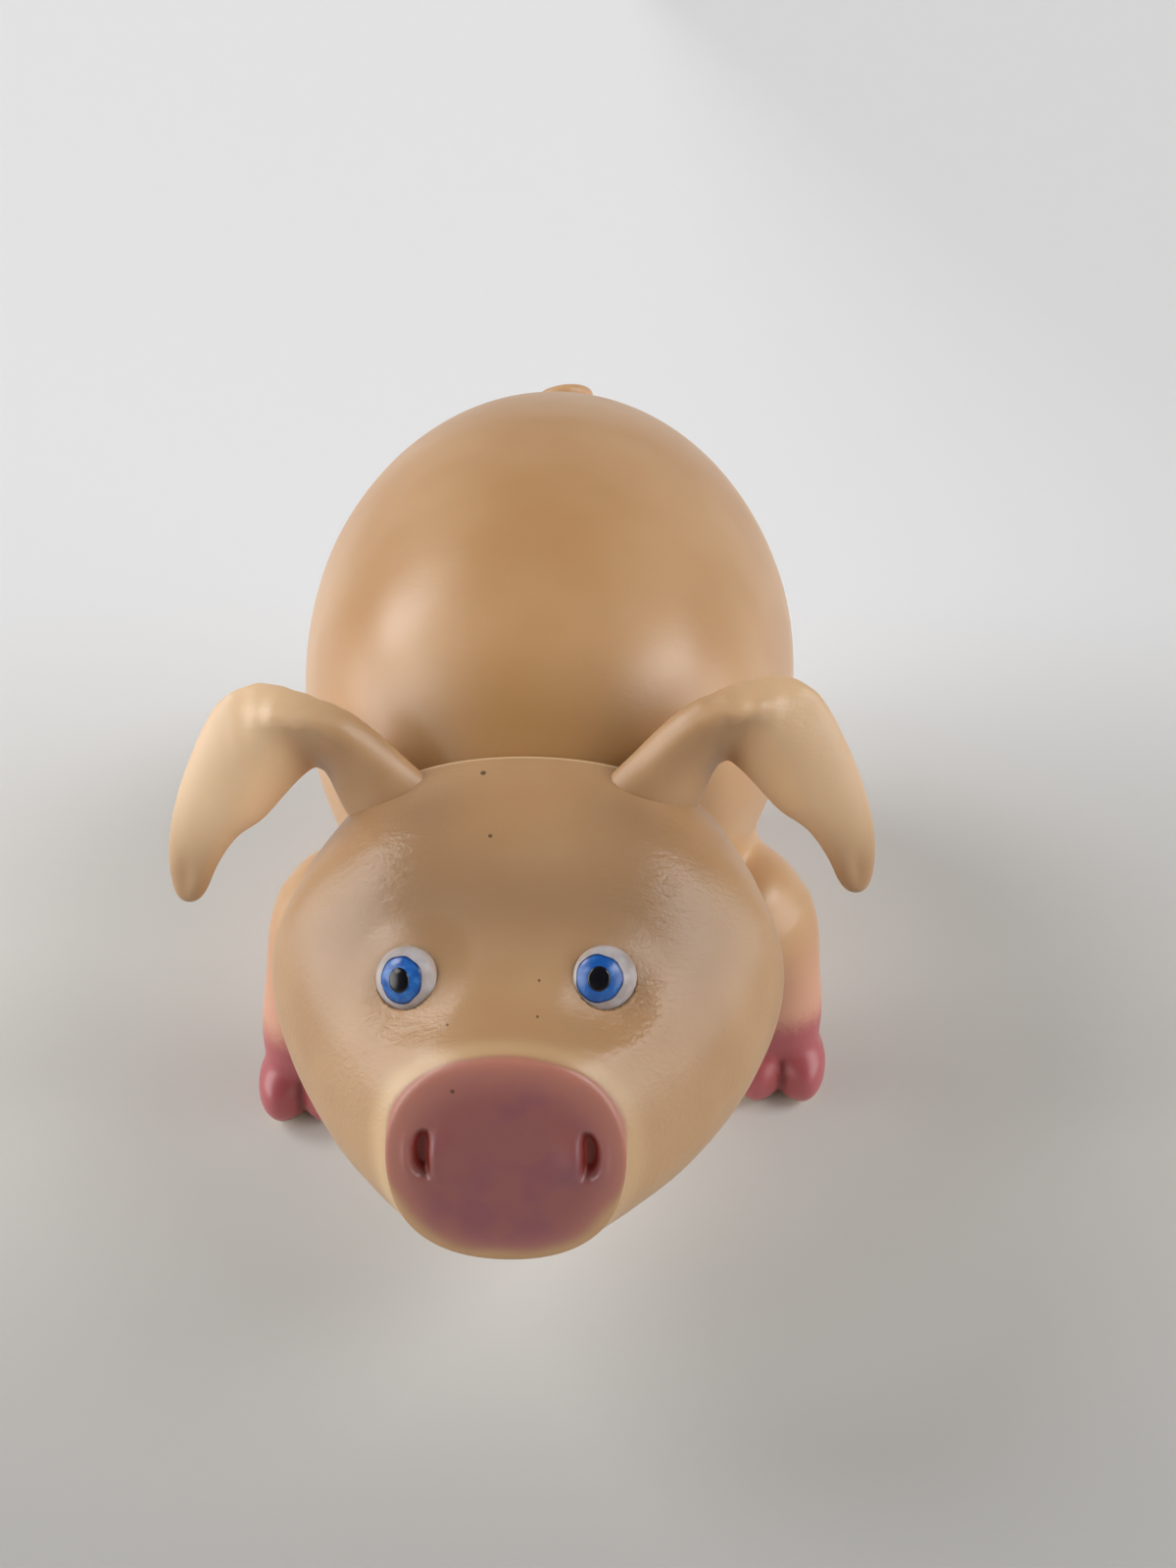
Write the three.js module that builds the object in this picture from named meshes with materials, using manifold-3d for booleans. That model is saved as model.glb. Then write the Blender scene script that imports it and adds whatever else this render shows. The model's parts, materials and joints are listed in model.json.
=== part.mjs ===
// A hollow vinyl toy pig: a moulded body with four legs, a head that turns on a neck plug,
// two plugged ears, a curled tail and two set-in eyes. Millimetres, +Z up, the snout points along -Y.
import * as THREE from "three";
import { mergeVertices } from "three/addons/utils/BufferGeometryUtils.js";
import Module from "manifold-3d";

const wasm = await Module();
wasm.setup();

// Skin and fits
const WALL = 2.2; // thickness of the moulded vinyl
const SEAT_GAP = 0.3; // between pieces that are pushed together
const TURN_GAP = 0.4; // running gap of the neck

// Body: an egg that lies along Y
const BODY_LENGTH = 204;
const BODY_WIDTH = 138;
const BODY_HEIGHT = 148;
const BODY_Z = 93; // height of its middle
const FRONT_SLIM = 0.06; // share by which the front of the egg is slimmer
const SHOULDER_BULGE = 4; // how far the shoulder muscles stand out of the egg
const SHOULDER_SPREAD = 24; // radius of that bulge

// Neck: a flat face on the body, with a round opening that the head's plug snaps into
const NECK_DROP = 7; // its middle, below the egg's
const NECK_FORWARD = 92; // the flat face, from the middle of the egg
const NECK_HOLE_RADIUS = 19;
const NECK_LIP = 2.4; // how far the plug's lip reaches behind the wall
const NECK_LIP_THICKNESS = 3;

// Legs: hips inside the egg, hooves on the ground
const FRONT_HIP_INSET = 28; // from the egg's widest side
const FRONT_HIP_FORWARD = 58;
const FRONT_HIP_DROP = 33; // below the middle of the egg
const FRONT_HOOF_X = 65;
const FRONT_HOOF_FORWARD = 73;
const FRONT_STRIDE = 5; // how far the right front hoof is ahead of this, and the left behind
const REAR_HIP_INSET = 29; // from the egg's widest side
const REAR_HIP_BACK = 40;
const REAR_HIP_DROP = 33;
const REAR_HOOF_X = 49;
const REAR_HOOF_BACK = 48;
const HIP_RADIUS = 21;
const MOUTH_WIDTH = 17; // of the opening from the egg into a leg
const KNEE_RADIUS = 12.5;
const KNEE_BULGE = 6; // how far the knee stands out of the line from hip to ankle
const ANKLE_RADIUS = 10.5;
const ANKLE_Z = 22;
const HOOF_WIDTH = 27;
const HOOF_LENGTH = 27;
const HOOF_HEIGHT = 20;
const HOOF_CLEFT = 3.5; // how much the two toes overlap between their round sides
const HOOF_FORWARD = 3; // how far the toes reach in front of the ankle
const SOLE_CUT = 2.2; // how much of the round toes the flat sole takes off
const LIMB_END_EXPONENT = 8; // the higher, the blunter the ends of a leg or the tail

// Head, measured forward from the neck's face and up from the neck's middle
const HEAD_LENGTH = 73; // to the middle of the snout's disc
const HEAD_WIDTH = 109;
const HEAD_HEIGHT = 76;
const HEAD_CORNER_SHARE = 0.035; // how far the back of the head fills its corners
const SNOUT_CORNER_SHARE = 0.05;
const HEAD_SAG = 5.5; // how far the middle of the face lies below the neck
const RIM_WIDTH = 94;
const RIM_HEIGHT = 75;
const RIM_RADIUS = 3; // round edge between the head's back and its sides
const RIM_RISE = 1.5; // middle of the rim above the neck's
const SNOUT_WIDTH = 45;
const SNOUT_HEIGHT = 41;
const SNOUT_DROP = 2.4; // middle of the disc below the neck's
const SNOUT_TILT = 22; // degrees that the disc looks up
const SNOUT_CROWN = 1; // how far the middle of the disc stands out
const NOSTRIL_SPACING = 30;
const NOSTRIL_WIDTH = 3.2;
const NOSTRIL_HEIGHT = 10;
const NOSTRIL_DEPTH = 5;
const NOSTRIL_RISE = 2; // above the middle of the disc
const NOSTRIL_LEAN = 6; // degrees that their tops lean together
const FACE_LENGTH = 120; // skin from the middle of the back to the middle of the disc
const BROW_SPACING = 52;
const BROW_BULGE = 2.5;
const BROW_SPREAD = 11;
const CHEEK_SPACING = 44;
const CHEEK_BULGE = 2;
const CHEEK_SPREAD = 10;
const SOCKET_DEPTH = 2;
const SOCKET_SPREAD = 11;

// Eyes
const EYE_SPACING = 36.8;
const EYE_SHIFT = -1.8; // both eyes sit this far towards the pig's right
const EYE_STATION = 0.685; // share of the way from the back of the head to the snout
const EYE_RADIUS = 6.2;
const EYE_DOME = 3.4; // how far the white stands up
const EYE_OUTWARD = 18; // degrees that each eye faces its own side
const EYE_UPWARD = 38; // degrees that it faces up
const EYE_POCKET = 2; // depth of its seat
const EYE_STEM_RADIUS = 2.6;
const EYE_BARB = 0.9; // how far the stem's barb reaches past the hole
const EYE_BARB_LENGTH = 3;
const EYE_GAP = 0.12; // between the white, the iris and the pupil
const IRIS_RADIUS = 4.6;
const IRIS_THICKNESS = 0.8;
const IRIS_PROUD = 0.05; // how far it stands out of the white
const PUPIL_RADIUS = 2.2;
const PUPIL_PROUD = 0.15;
const LEFT_GAZE = -16; // degrees that the left iris is turned from the middle of its white
const RIGHT_GAZE = 0;

// Ears
const EAR_SPACING = 60;
const EAR_SHIFT = -1.9; // both ears sit this far towards the pig's right
const EAR_STATION = 0.27; // share of the way from the back of the head to the snout
const EAR_REACH = 45; // from the root out to the side
const EAR_RISE = 24.3; // from the root up to the elbow
const EAR_THICKNESS = 7;
const EAR_LEAN = -15; // degrees that the flap leans back
const EAR_FOLD = 8; // how far the vinyl falls back over half the flap's width, behind the fold
const EAR_FOLD_SHARE = 0.14; // of the half width, over which the fold starts
const EAR_END_EXPONENT = 24; // the higher, the blunter the flap's tip
const LEFT_EAR_TURN = -6; // degrees that it is turned forwards about its root
const RIGHT_EAR_TURN = -1;
const EAR_PLUG_RADIUS = 3.4;
const EAR_PLUG_LENGTH = 6; // how far it reaches inside the head
const EAR_PLUG_ROOT = 2; // how far it reaches into the flap

// Tail
const TAIL_ANGLE = 39.4; // degrees up the rump from the egg's middle
const TAIL_RADIUS = 3.4;
const TAIL_TIP_RADIUS = 1.8;
const TAIL_CURL = 8; // radius of the curl
const TAIL_CURL_HEIGHT = 11.5; // of one turn
const TAIL_TURNS = 1.35;
const TAIL_PLUG_LENGTH = 6;

// Facets: rings along each skin and sides around it, and sides of what is turned
const BODY_FACETS = [26, 36];
const LEG_FACETS = [12, 14];
const TOE_FACETS = [7, 12];
const HEAD_FACETS = [32, 34];
const NOSTRIL_FACETS = [8, 10];
const EAR_FACETS = [20, 15];
const TAIL_FACETS = [26, 8];
const NECK_SIDES = 28;
const EYE_SIDES = 20;
const SMALL_SIDES = 12;

const bodyVinyl = { color: 0xe3b48a, roughness: 0.38, metalness: 0 };
const headVinyl = { color: 0xd9b48a, roughness: 0.42, metalness: 0 };
const eyeWhite = { color: 0xe9e4dc, roughness: 0.3, metalness: 0 };
const eyeBlue = { color: 0x1f5fb4, roughness: 0.2, metalness: 0 };
const eyeBlack = { color: 0x050505, roughness: 0.12, metalness: 0 };

const vec = (x, y, z) => new THREE.Vector3(x, y, z);
const radians = THREE.MathUtils.degToRad;
const mix = THREE.MathUtils.lerp;

// A bell of height 1, at a distance from its middle.
const bell = (distance, spread) => Math.exp(-((distance / spread) ** 2));

// A smooth function through stops of [at, value], in rising order.
function smooth(stops) {
  const last = stops.length - 1;
  const slope = (i) => {
    const before = stops[Math.max(i - 1, 0)];
    const after = stops[Math.min(i + 1, last)];
    return (after[1] - before[1]) / (after[0] - before[0]);
  };
  return (at) => {
    const next = stops.findIndex((stop) => stop[0] >= at);
    if (next < 1) return next === 0 ? stops[0][1] : stops[last][1];
    const [[fromAt, from], [toAt, to]] = [stops[next - 1], stops[next]];
    const run = toAt - fromAt;
    const t = (at - fromAt) / run;
    const bend = t * t * (3 - 2 * t);
    const lift = t * (1 - t) * run * ((1 - t) * slope(next - 1) - t * slope(next));
    return mix(from, to, bend) + lift;
  };
}

// A closed skin of rings between two poles. place(share, angle) gives each point: the share runs
// from 0 at the first pole to 1 at the last, and the angle goes once round.
function skin([rings, around], place) {
  const geometry = new THREE.SphereGeometry(1, around, rings);
  const { position, uv } = geometry.attributes;
  for (let i = 0; i < position.count; i += 1) {
    const { x, y, z } = place(1 - uv.getY(i), 2 * Math.PI * uv.getX(i));
    position.setXYZ(i, x, y, z);
  }
  geometry.deleteAttribute("normal");
  geometry.deleteAttribute("uv");
  return mergeVertices(geometry, 1e-4);
}

// The inside of a hollow piece doesn't show, so it takes fewer facets.
const coarser = (facets) => facets.map((count) => Math.ceil(0.55 * count));

// A skin moved outwards along its normals, or inwards where the distance is negative.
function grown(geometry, distance) {
  const moved = geometry.clone();
  moved.computeVertexNormals();
  const { position, normal } = moved.attributes;
  for (let i = 0; i < position.count; i += 1) {
    const point = vec().fromBufferAttribute(position, i);
    point.addScaledVector(vec().fromBufferAttribute(normal, i), distance);
    position.setXYZ(i, point.x, point.y, point.z);
  }
  moved.deleteAttribute("normal");
  return moved;
}

// A closed mesh as a solid that can be joined and cut.
function solid(geometry) {
  const bare = geometry.clone();
  bare.deleteAttribute("normal");
  bare.deleteAttribute("uv");
  const merged = mergeVertices(bare, 1e-4);
  const corners = merged.index.array;
  const kept = [];
  for (let i = 0; i < corners.length; i += 3) {
    const [a, b, c] = corners.slice(i, i + 3);
    if (a !== b && b !== c && c !== a) kept.push(a, b, c);
  }
  return new wasm.Manifold(
    new wasm.Mesh({
      numProp: 3,
      vertProperties: merged.attributes.position.array,
      triVerts: new Uint32Array(kept),
    }),
  );
}

// A solid as a named mesh.
function piece(name, body, look) {
  const { vertProperties, triVerts } = body.getMesh();
  const geometry = new THREE.BufferGeometry();
  geometry.setAttribute("position", new THREE.BufferAttribute(vertProperties, 3));
  geometry.setIndex(new THREE.BufferAttribute(triVerts, 1));
  geometry.computeVertexNormals();
  const mesh = new THREE.Mesh(geometry, new THREE.MeshStandardMaterial(look));
  mesh.name = name;
  return mesh;
}

// A frame at a place, with its Z axis along a direction.
function facing(place, direction) {
  const turn = new THREE.Quaternion().setFromUnitVectors(vec(0, 0, 1), direction);
  return new THREE.Matrix4().compose(place, turn, vec(1, 1, 1));
}

// A profile of [radius, height] points turned about the Z axis of a frame.
function turned(profile, around, frame) {
  const points = profile.map(([radius, height]) => new THREE.Vector2(radius, height));
  const geometry = new THREE.LatheGeometry(points, around);
  geometry.rotateX(Math.PI / 2);
  return solid(geometry.applyMatrix4(frame));
}

function rod(radius, from, to, around, frame) {
  return turned([[0, from], [radius, from], [radius, to], [0, to]], around, frame);
}

function ball([rings, around], size, middle) {
  const geometry = new THREE.SphereGeometry(0.5, around, rings);
  geometry.scale(size.x, size.y, size.z);
  geometry.translate(middle.x, middle.y, middle.z);
  return solid(geometry);
}

// Rings are set closer towards the ends of a path, where the skin closes in a round end.
const eased = (share) => (1 - Math.cos(Math.PI * share)) / 2;
const endRound = (along, bluntness) => Math.sqrt(Math.max(0, 1 - Math.abs(2 * along - 1) ** bluntness));

// A tube of changing radius along a path, with round ends. It may leave a share of the path bare at
// each end.
function limb(facets, path, radiusAt, bare = 0) {
  return skin(facets, (share, angle) => {
    const along = mix(bare, 1 - bare, eased(share));
    const ahead = path.getTangentAt(along);
    const side = vec(0, 1, 0).cross(ahead).normalize();
    const radius = radiusAt(along) * endRound(eased(share), LIMB_END_EXPONENT);
    const point = path.getPointAt(along).addScaledVector(side, -Math.cos(angle) * radius);
    return point.addScaledVector(ahead.cross(side), Math.sin(angle) * radius);
  });
}

// The egg, with a muscle over each front leg.
function eggSkin(facets) {
  const muscle = vec(0.62, -0.62, 0.48).normalize();
  return skin(facets, (share, angle) => {
    const side = -Math.cos(angle) * Math.sin(Math.PI * share);
    const back = Math.cos(Math.PI * share);
    const up = Math.sin(angle) * Math.sin(Math.PI * share);
    const slim = 1 - FRONT_SLIM * Math.max(0, -back);
    const toMuscle = vec(Math.abs(side), back, up).distanceTo(muscle) * (BODY_WIDTH / 2);
    const swell = 1 + (SHOULDER_BULGE * bell(toMuscle, SHOULDER_SPREAD)) / (BODY_WIDTH / 2);
    const half = vec(BODY_WIDTH * slim, BODY_LENGTH, BODY_HEIGHT * slim).multiplyScalar(swell / 2);
    return vec(side * half.x, back * half.y, BODY_Z + up * half.z);
  });
}

const outerEgg = eggSkin(BODY_FACETS);

// A hoof: two round toes side by side.
function hoof(place) {
  const toeWidth = (HOOF_WIDTH + HOOF_CLEFT) / 2;
  const size = vec(toeWidth, HOOF_LENGTH, HOOF_HEIGHT + SOLE_CUT);
  const [outerToe, innerToe] = [-1, 1].map((way) => {
    const x = place.x + (way * (HOOF_WIDTH - toeWidth)) / 2;
    return ball(TOE_FACETS, size, vec(x, place.y - HOOF_FORWARD, (HOOF_HEIGHT - SOLE_CUT) / 2));
  });
  return outerToe.add(innerToe);
}

// One leg, as its outer solid and its cavity, which opens into the egg's through a round mouth.
function leg(hip, foot) {
  const out = Math.sign(hip.x);
  const ankle = vec(foot.x, foot.y, ANKLE_Z);
  const knee = hip.clone().lerp(ankle, 0.5).add(vec(out * KNEE_BULGE, 0, KNEE_BULGE / 2));
  const path = new THREE.CatmullRomCurve3([hip, knee, ankle, vec(foot.x, foot.y, HOOF_HEIGHT / 2)]);
  const radiusAt = smooth([
    [0, HIP_RADIUS],
    [0.25, HIP_RADIUS],
    [0.52, KNEE_RADIUS],
    [0.8, ANKLE_RADIUS],
    [1, ANKLE_RADIUS],
  ]);
  const flesh = solid(limb(LEG_FACETS, path, radiusAt)).add(hoof(foot));
  const bare = (2 * WALL) / path.getLength();
  const hollow = limb(coarser(LEG_FACETS), path, (along) => radiusAt(along) - WALL, bare);
  const mouth = hip.clone().addScaledVector(path.getTangentAt(0), -WALL);
  const mouthSize = vec(MOUTH_WIDTH, MOUTH_WIDTH, MOUTH_WIDTH);
  return [flesh, solid(hollow).add(ball(coarser(TOE_FACETS), mouthSize, mouth))];
}

// The ground under the hooves, as a block to cut with.
function ground() {
  const block = new THREE.BoxGeometry(2 * BODY_WIDTH, 2 * BODY_LENGTH, BODY_Z);
  return solid(block.translate(0, 0, -BODY_Z / 2));
}

// Everything in front of a plane across the neck, as a block to cut with.
function inFrontOf(y) {
  const block = new THREE.BoxGeometry(BODY_WIDTH, BODY_LENGTH, 2 * BODY_HEIGHT);
  return solid(block.translate(0, y - BODY_LENGTH / 2, BODY_Z));
}

// The tail's root on the rump, looking straight out of the egg.
function tailFrame() {
  const back = Math.cos(radians(TAIL_ANGLE));
  const up = Math.sin(radians(TAIL_ANGLE));
  const root = vec(0, (BODY_LENGTH / 2) * back, BODY_Z + (BODY_HEIGHT / 2) * up);
  return facing(root, vec(0, back / BODY_LENGTH, up / BODY_HEIGHT).normalize());
}

function bodyShell() {
  let outer = solid(outerEgg).subtract(inFrontOf(-NECK_FORWARD));
  let cavity = solid(grown(eggSkin(coarser(BODY_FACETS)), -WALL)).subtract(inFrontOf(WALL - NECK_FORWARD));
  const frontHipX = BODY_WIDTH / 2 - FRONT_HIP_INSET;
  const rearHipX = BODY_WIDTH / 2 - REAR_HIP_INSET;
  for (const side of [-1, 1]) {
    const frontHip = vec(side * frontHipX, -FRONT_HIP_FORWARD, BODY_Z - FRONT_HIP_DROP);
    const frontFoot = vec(side * FRONT_HOOF_X, side * FRONT_STRIDE - FRONT_HOOF_FORWARD, 0);
    const rearHip = vec(side * rearHipX, REAR_HIP_BACK, BODY_Z - REAR_HIP_DROP);
    const rearFoot = vec(side * REAR_HOOF_X, REAR_HOOF_BACK, 0);
    for (const [flesh, hollow] of [leg(frontHip, frontFoot), leg(rearHip, rearFoot)]) {
      outer = outer.add(flesh);
      cavity = cavity.add(hollow);
    }
  }
  const neck = facing(vec(0, -NECK_FORWARD, BODY_Z - NECK_DROP), vec(0, -1, 0));
  const neckHole = rod(NECK_HOLE_RADIUS, -2 * WALL, WALL, NECK_SIDES, neck);
  const tailHole = rod(TAIL_RADIUS + SEAT_GAP, -TAIL_PLUG_LENGTH, 2 * WALL, SMALL_SIDES, tailFrame());
  return outer.subtract(ground()).subtract(cavity).subtract(neckHole).subtract(tailHole);
}

// The head's rings, from its back to its snout: [station, share of the length, how far the width and
// the height have come from the snout's to the head's, share of the sag, share of the tilt].
const faceRings = [
  [0.36, 0.18, 0.92, 1, 0.2, 0.1],
  [0.47, 0.36, 1, 0.94, 0.55, 0.27],
  [0.58, 0.55, 0.83, 0.71, 0.9, 0.45],
  [0.69, 0.74, 0.53, 0.4, 1, 0.68],
  [0.78, 0.88, 0.23, 0.14, 0.8, 0.86],
];

// A column of those rings as a smooth function, between the values at the back and at the snout.
function headColumn(back, column, snout) {
  const rimStops = [0, 0.16, 0.2, 0.24].map((station, i) => [station, back[i]]);
  const snoutStops = [0.86, 0.9, 1].map((station, i) => [station, snout[i]]);
  return smooth([...rimStops, ...faceRings.map((ring) => [ring[0], column(ring)]), ...snoutStops]);
}

// The rim turns through a quarter circle, and the disc has a round edge and a crown.
const rimEdge = (half) => [0, half - RIM_RADIUS, half - RIM_RADIUS * 0.3, half];
const discEdge = (half) => [half, half - SNOUT_CROWN * 2, 0];

const headForward = headColumn(
  [0, 0, RIM_RADIUS * 0.3, RIM_RADIUS],
  (ring) => ring[1] * HEAD_LENGTH,
  [HEAD_LENGTH - SNOUT_CROWN * 2, HEAD_LENGTH, HEAD_LENGTH + SNOUT_CROWN],
);
const headHalfWidth = headColumn(
  rimEdge(RIM_WIDTH / 2),
  (ring) => mix(SNOUT_WIDTH / 2, HEAD_WIDTH / 2, ring[2]),
  discEdge(SNOUT_WIDTH / 2),
);
const headHalfHeight = headColumn(
  rimEdge(RIM_HEIGHT / 2),
  (ring) => mix(SNOUT_HEIGHT / 2, HEAD_HEIGHT / 2, ring[3]),
  discEdge(SNOUT_HEIGHT / 2),
);
const headRise = headColumn(
  [RIM_RISE, RIM_RISE, RIM_RISE, RIM_RISE],
  (ring) => -ring[4] * HEAD_SAG,
  [-SNOUT_DROP, -SNOUT_DROP, -SNOUT_DROP],
);
const headTilt = headColumn(
  [0, 0, 0, 0],
  (ring) => ring[5] * SNOUT_TILT,
  [SNOUT_TILT, SNOUT_TILT, SNOUT_TILT],
);

// How far a ring fills its corners.
const headCorner = smooth([
  [0, 0],
  [0.16, HEAD_CORNER_SHARE],
  [0.5, HEAD_CORNER_SHARE],
  [0.86, SNOUT_CORNER_SHARE],
  [1, SNOUT_CORNER_SHARE],
]);

// Soft lumps and hollows of the face: [station, spacing, height, spread].
const faceLumps = [
  [0.5, BROW_SPACING, BROW_BULGE, BROW_SPREAD],
  [0.72, CHEEK_SPACING, CHEEK_BULGE, CHEEK_SPREAD],
  [EYE_STATION - 0.02, EYE_SPACING, -SOCKET_DEPTH, SOCKET_SPREAD],
];

// A point of the head's skin, in the frame whose origin is the middle of the neck's face.
function headPoint(station, angle) {
  const cosine = -Math.cos(angle);
  const sine = Math.sin(angle);
  const swell = 1 + headCorner(station) * (2 * cosine * sine) ** 2;
  let across = cosine * headHalfWidth(station) * swell;
  let up = sine * headHalfHeight(station) * swell;
  for (const [at, spacing, height, spread] of faceLumps) {
    const reach = Math.hypot((station - at) * FACE_LENGTH, Math.abs(across) - spacing / 2);
    const lump = height * bell(reach, spread) * Math.max(0, sine);
    up += lump * sine;
    across += (lump * cosine) / 2;
  }
  const tilt = radians(headTilt(station));
  return vec(across, up * Math.sin(tilt) - headForward(station), headRise(station) + up * Math.cos(tilt));
}

const outerHead = skin(HEAD_FACETS, headPoint);

// The angle of a ring's upper half at which the skin lies a distance to the side.
const angleAt = (station, sideways) => Math.acos(-sideways / headHalfWidth(station));

// The direction in which the head's skin faces.
function headOutward(station, angle) {
  const step = 0.01;
  const forwards = headPoint(station + step, angle).sub(headPoint(station - step, angle));
  const round = headPoint(station, angle + step).sub(headPoint(station, angle - step));
  return forwards.cross(round).normalize();
}

// The middle of the snout's disc, with Z out of the disc and Y up.
const snoutFrame = new THREE.Matrix4()
  .makeRotationX(Math.PI / 2 - radians(SNOUT_TILT))
  .setPosition(0, -HEAD_LENGTH, -SNOUT_DROP);

// One nostril, an upright slot. Grown by the wall, it shapes the cavity behind it.
function nostril(side, growth) {
  const [rings, around] = NOSTRIL_FACETS;
  const shape = new THREE.SphereGeometry(1, around, rings);
  shape.scale(NOSTRIL_WIDTH / 2 + growth, NOSTRIL_HEIGHT / 2 + growth, NOSTRIL_DEPTH + growth);
  shape.rotateZ(radians(side * NOSTRIL_LEAN));
  shape.translate((side * NOSTRIL_SPACING) / 2, NOSTRIL_RISE, SNOUT_CROWN / 2);
  return solid(shape.applyMatrix4(snoutFrame));
}

// The pig's own left is at +X.
const sides = { left: 1, right: -1 };
const gazes = { left: LEFT_GAZE, right: RIGHT_GAZE };
const earTurns = { left: LEFT_EAR_TURN, right: RIGHT_EAR_TURN };

// The seat of one eye on the skin, with Z along the eye's axis.
function eyeFrame(side) {
  const angle = angleAt(EYE_STATION, EYE_SHIFT + (side * EYE_SPACING) / 2);
  const out = radians(EYE_OUTWARD) * side;
  const up = radians(EYE_UPWARD);
  const axis = vec(Math.sin(out) * Math.cos(up), -Math.cos(out) * Math.cos(up), Math.sin(up));
  return facing(headPoint(EYE_STATION, angle), axis);
}

// The white is part of a ball. The gaze turns the iris about the ball's middle.
const ballRadius = (EYE_RADIUS ** 2 + EYE_DOME ** 2) / (2 * EYE_DOME);
const ballMiddle = EYE_DOME - ballRadius;

function gazeFrame(side, gaze) {
  const turn = new THREE.Matrix4().makeTranslation(0, 0, ballMiddle);
  turn.multiply(new THREE.Matrix4().makeRotationY(radians(gaze)));
  turn.multiply(new THREE.Matrix4().makeTranslation(0, 0, -ballMiddle));
  return eyeFrame(side).multiply(turn);
}

// An arc of the ball's skin, or of one above or below it, from one radius to another.
function domeArc(above, from, to, steps) {
  return Array.from({ length: steps + 1 }, (_, i) => {
    const radius = mix(from, to, i / steps);
    return [radius, ballMiddle + Math.sqrt((ballRadius + above) ** 2 - radius ** 2)];
  });
}

// A disc that follows the dome between two depths.
function domeDisc(radius, bottom, top, frame) {
  return turned([...domeArc(bottom, 0, radius, 2), ...domeArc(top, radius, 0, 2)], EYE_SIDES, frame);
}

// The white: a dome with a recess for the iris, on a stem with a barb behind the head's wall.
function whiteOfEye(frame, gaze) {
  const seat = SEAT_GAP - EYE_POCKET;
  const behindWall = -EYE_POCKET - WALL - SEAT_GAP;
  const profile = [
    [0, behindWall - EYE_BARB_LENGTH],
    [EYE_STEM_RADIUS - EYE_BARB, behindWall - EYE_BARB_LENGTH],
    [EYE_STEM_RADIUS + EYE_BARB, behindWall],
    [EYE_STEM_RADIUS, behindWall],
    [EYE_STEM_RADIUS, seat],
    [EYE_RADIUS, seat],
    ...domeArc(0, EYE_RADIUS, 0, 4),
  ];
  const recess = domeDisc(IRIS_RADIUS + EYE_GAP, -IRIS_THICKNESS - EYE_GAP, EYE_DOME, gaze);
  return turned(profile, EYE_SIDES, frame).subtract(recess);
}

function eye(name) {
  const gaze = gazeFrame(sides[name], gazes[name]);
  const pupilHole = domeDisc(PUPIL_RADIUS + EYE_GAP, -EYE_DOME, EYE_DOME, gaze);
  const iris = domeDisc(IRIS_RADIUS, -IRIS_THICKNESS, IRIS_PROUD, gaze).subtract(pupilHole);
  return [
    piece(`${name}_eye_white`, whiteOfEye(eyeFrame(sides[name]), gaze), eyeWhite),
    piece(`${name}_iris`, iris, eyeBlue),
    piece(`${name}_pupil`, domeDisc(PUPIL_RADIUS, -IRIS_THICKNESS, PUPIL_PROUD, gaze), eyeBlack),
  ];
}

// An ear's root on the skin, looking straight out of the head.
const earAngle = (side) => angleAt(EAR_STATION, EAR_SHIFT + (side * EAR_SPACING) / 2);
const earRoot = (side) => headPoint(EAR_STATION, earAngle(side));
const earFrame = (side) => facing(earRoot(side), headOutward(EAR_STATION, earAngle(side)));

// An ear's rings, from its root to its tip: [station, outer edge out and up, inner edge out and up,
// fold]. The edges are shares of the reach and the rise. The fold is at 1 on the outer edge and at -1
// on the inner one.
const earRings = [
  [0, -0.33, 0.07, 0.1, -0.33, 0.6],
  [0.12, -0.2, 0.29, 0.19, -0.04, 0.6],
  [0.3, 0.07, 0.75, 0.26, 0.08, 0.62],
  [0.42, 0.31, 0.94, 0.32, 0.14, 0.57],
  [0.52, 0.53, 1, 0.37, 0.1, 0.11],
  [0.6, 0.69, 0.84, 0.44, -0.03, -0.17],
  [0.7, 0.83, 0.39, 0.54, -0.23, -0.45],
  [0.8, 0.93, -0.06, 0.67, -0.4, -0.7],
  [0.9, 0.99, -0.5, 0.77, -0.67, -0.95],
  [1, 1, -0.98, 0.84, -1, -1],
];
const earColumn = (column) => smooth(earRings.map((ring) => [ring[0], ring[column]]));
const [outerOut, outerUp, innerOut, innerUp, foldLine] = [1, 2, 3, 4, 5].map(earColumn);

// The flap's thickness, and how steeply its outer part falls back from the fold, as shares.
const earThickness = smooth([[0, 1.3], [0.3, 1.1], [0.6, 1], [1, 0.9]]);
const outerFall = smooth([[0, 1], [0.42, 1], [0.6, 0.2], [1, 0.1]]);

// A slope that starts softly at the fold.
const pleat = (past) => EAR_FOLD_SHARE * Math.log1p(Math.exp(past / EAR_FOLD_SHARE));

// A flap that rises from the root, turns over at an elbow and hangs down, with a fold along it.
function earFlap(side, forwards) {
  const stance = new THREE.Matrix4().makeRotationZ(radians(side * -forwards));
  stance.multiply(new THREE.Matrix4().makeRotationX(radians(EAR_LEAN)));
  stance.setPosition(earRoot(side));
  return skin(EAR_FACETS, (share, angle) => {
    const along = eased(share);
    const round = endRound(along, EAR_END_EXPONENT);
    const edge = -side * Math.cos(angle) * round;
    const out = mix(innerOut(along), outerOut(along), (1 + edge) / 2) * EAR_REACH;
    const up = mix(innerUp(along), outerUp(along), (1 + edge) / 2) * EAR_RISE;
    const past = foldLine(along) - edge;
    const fall = pleat(past) + outerFall(along) * pleat(-past);
    const crest = EAR_FOLD * (0.5 - fall) * Math.min(1, 3 * along);
    const front = (Math.sin(angle) * earThickness(along) * EAR_THICKNESS * round) / 2 + crest;
    return vec(side * out, -front, up).applyMatrix4(stance);
  });
}

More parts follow.
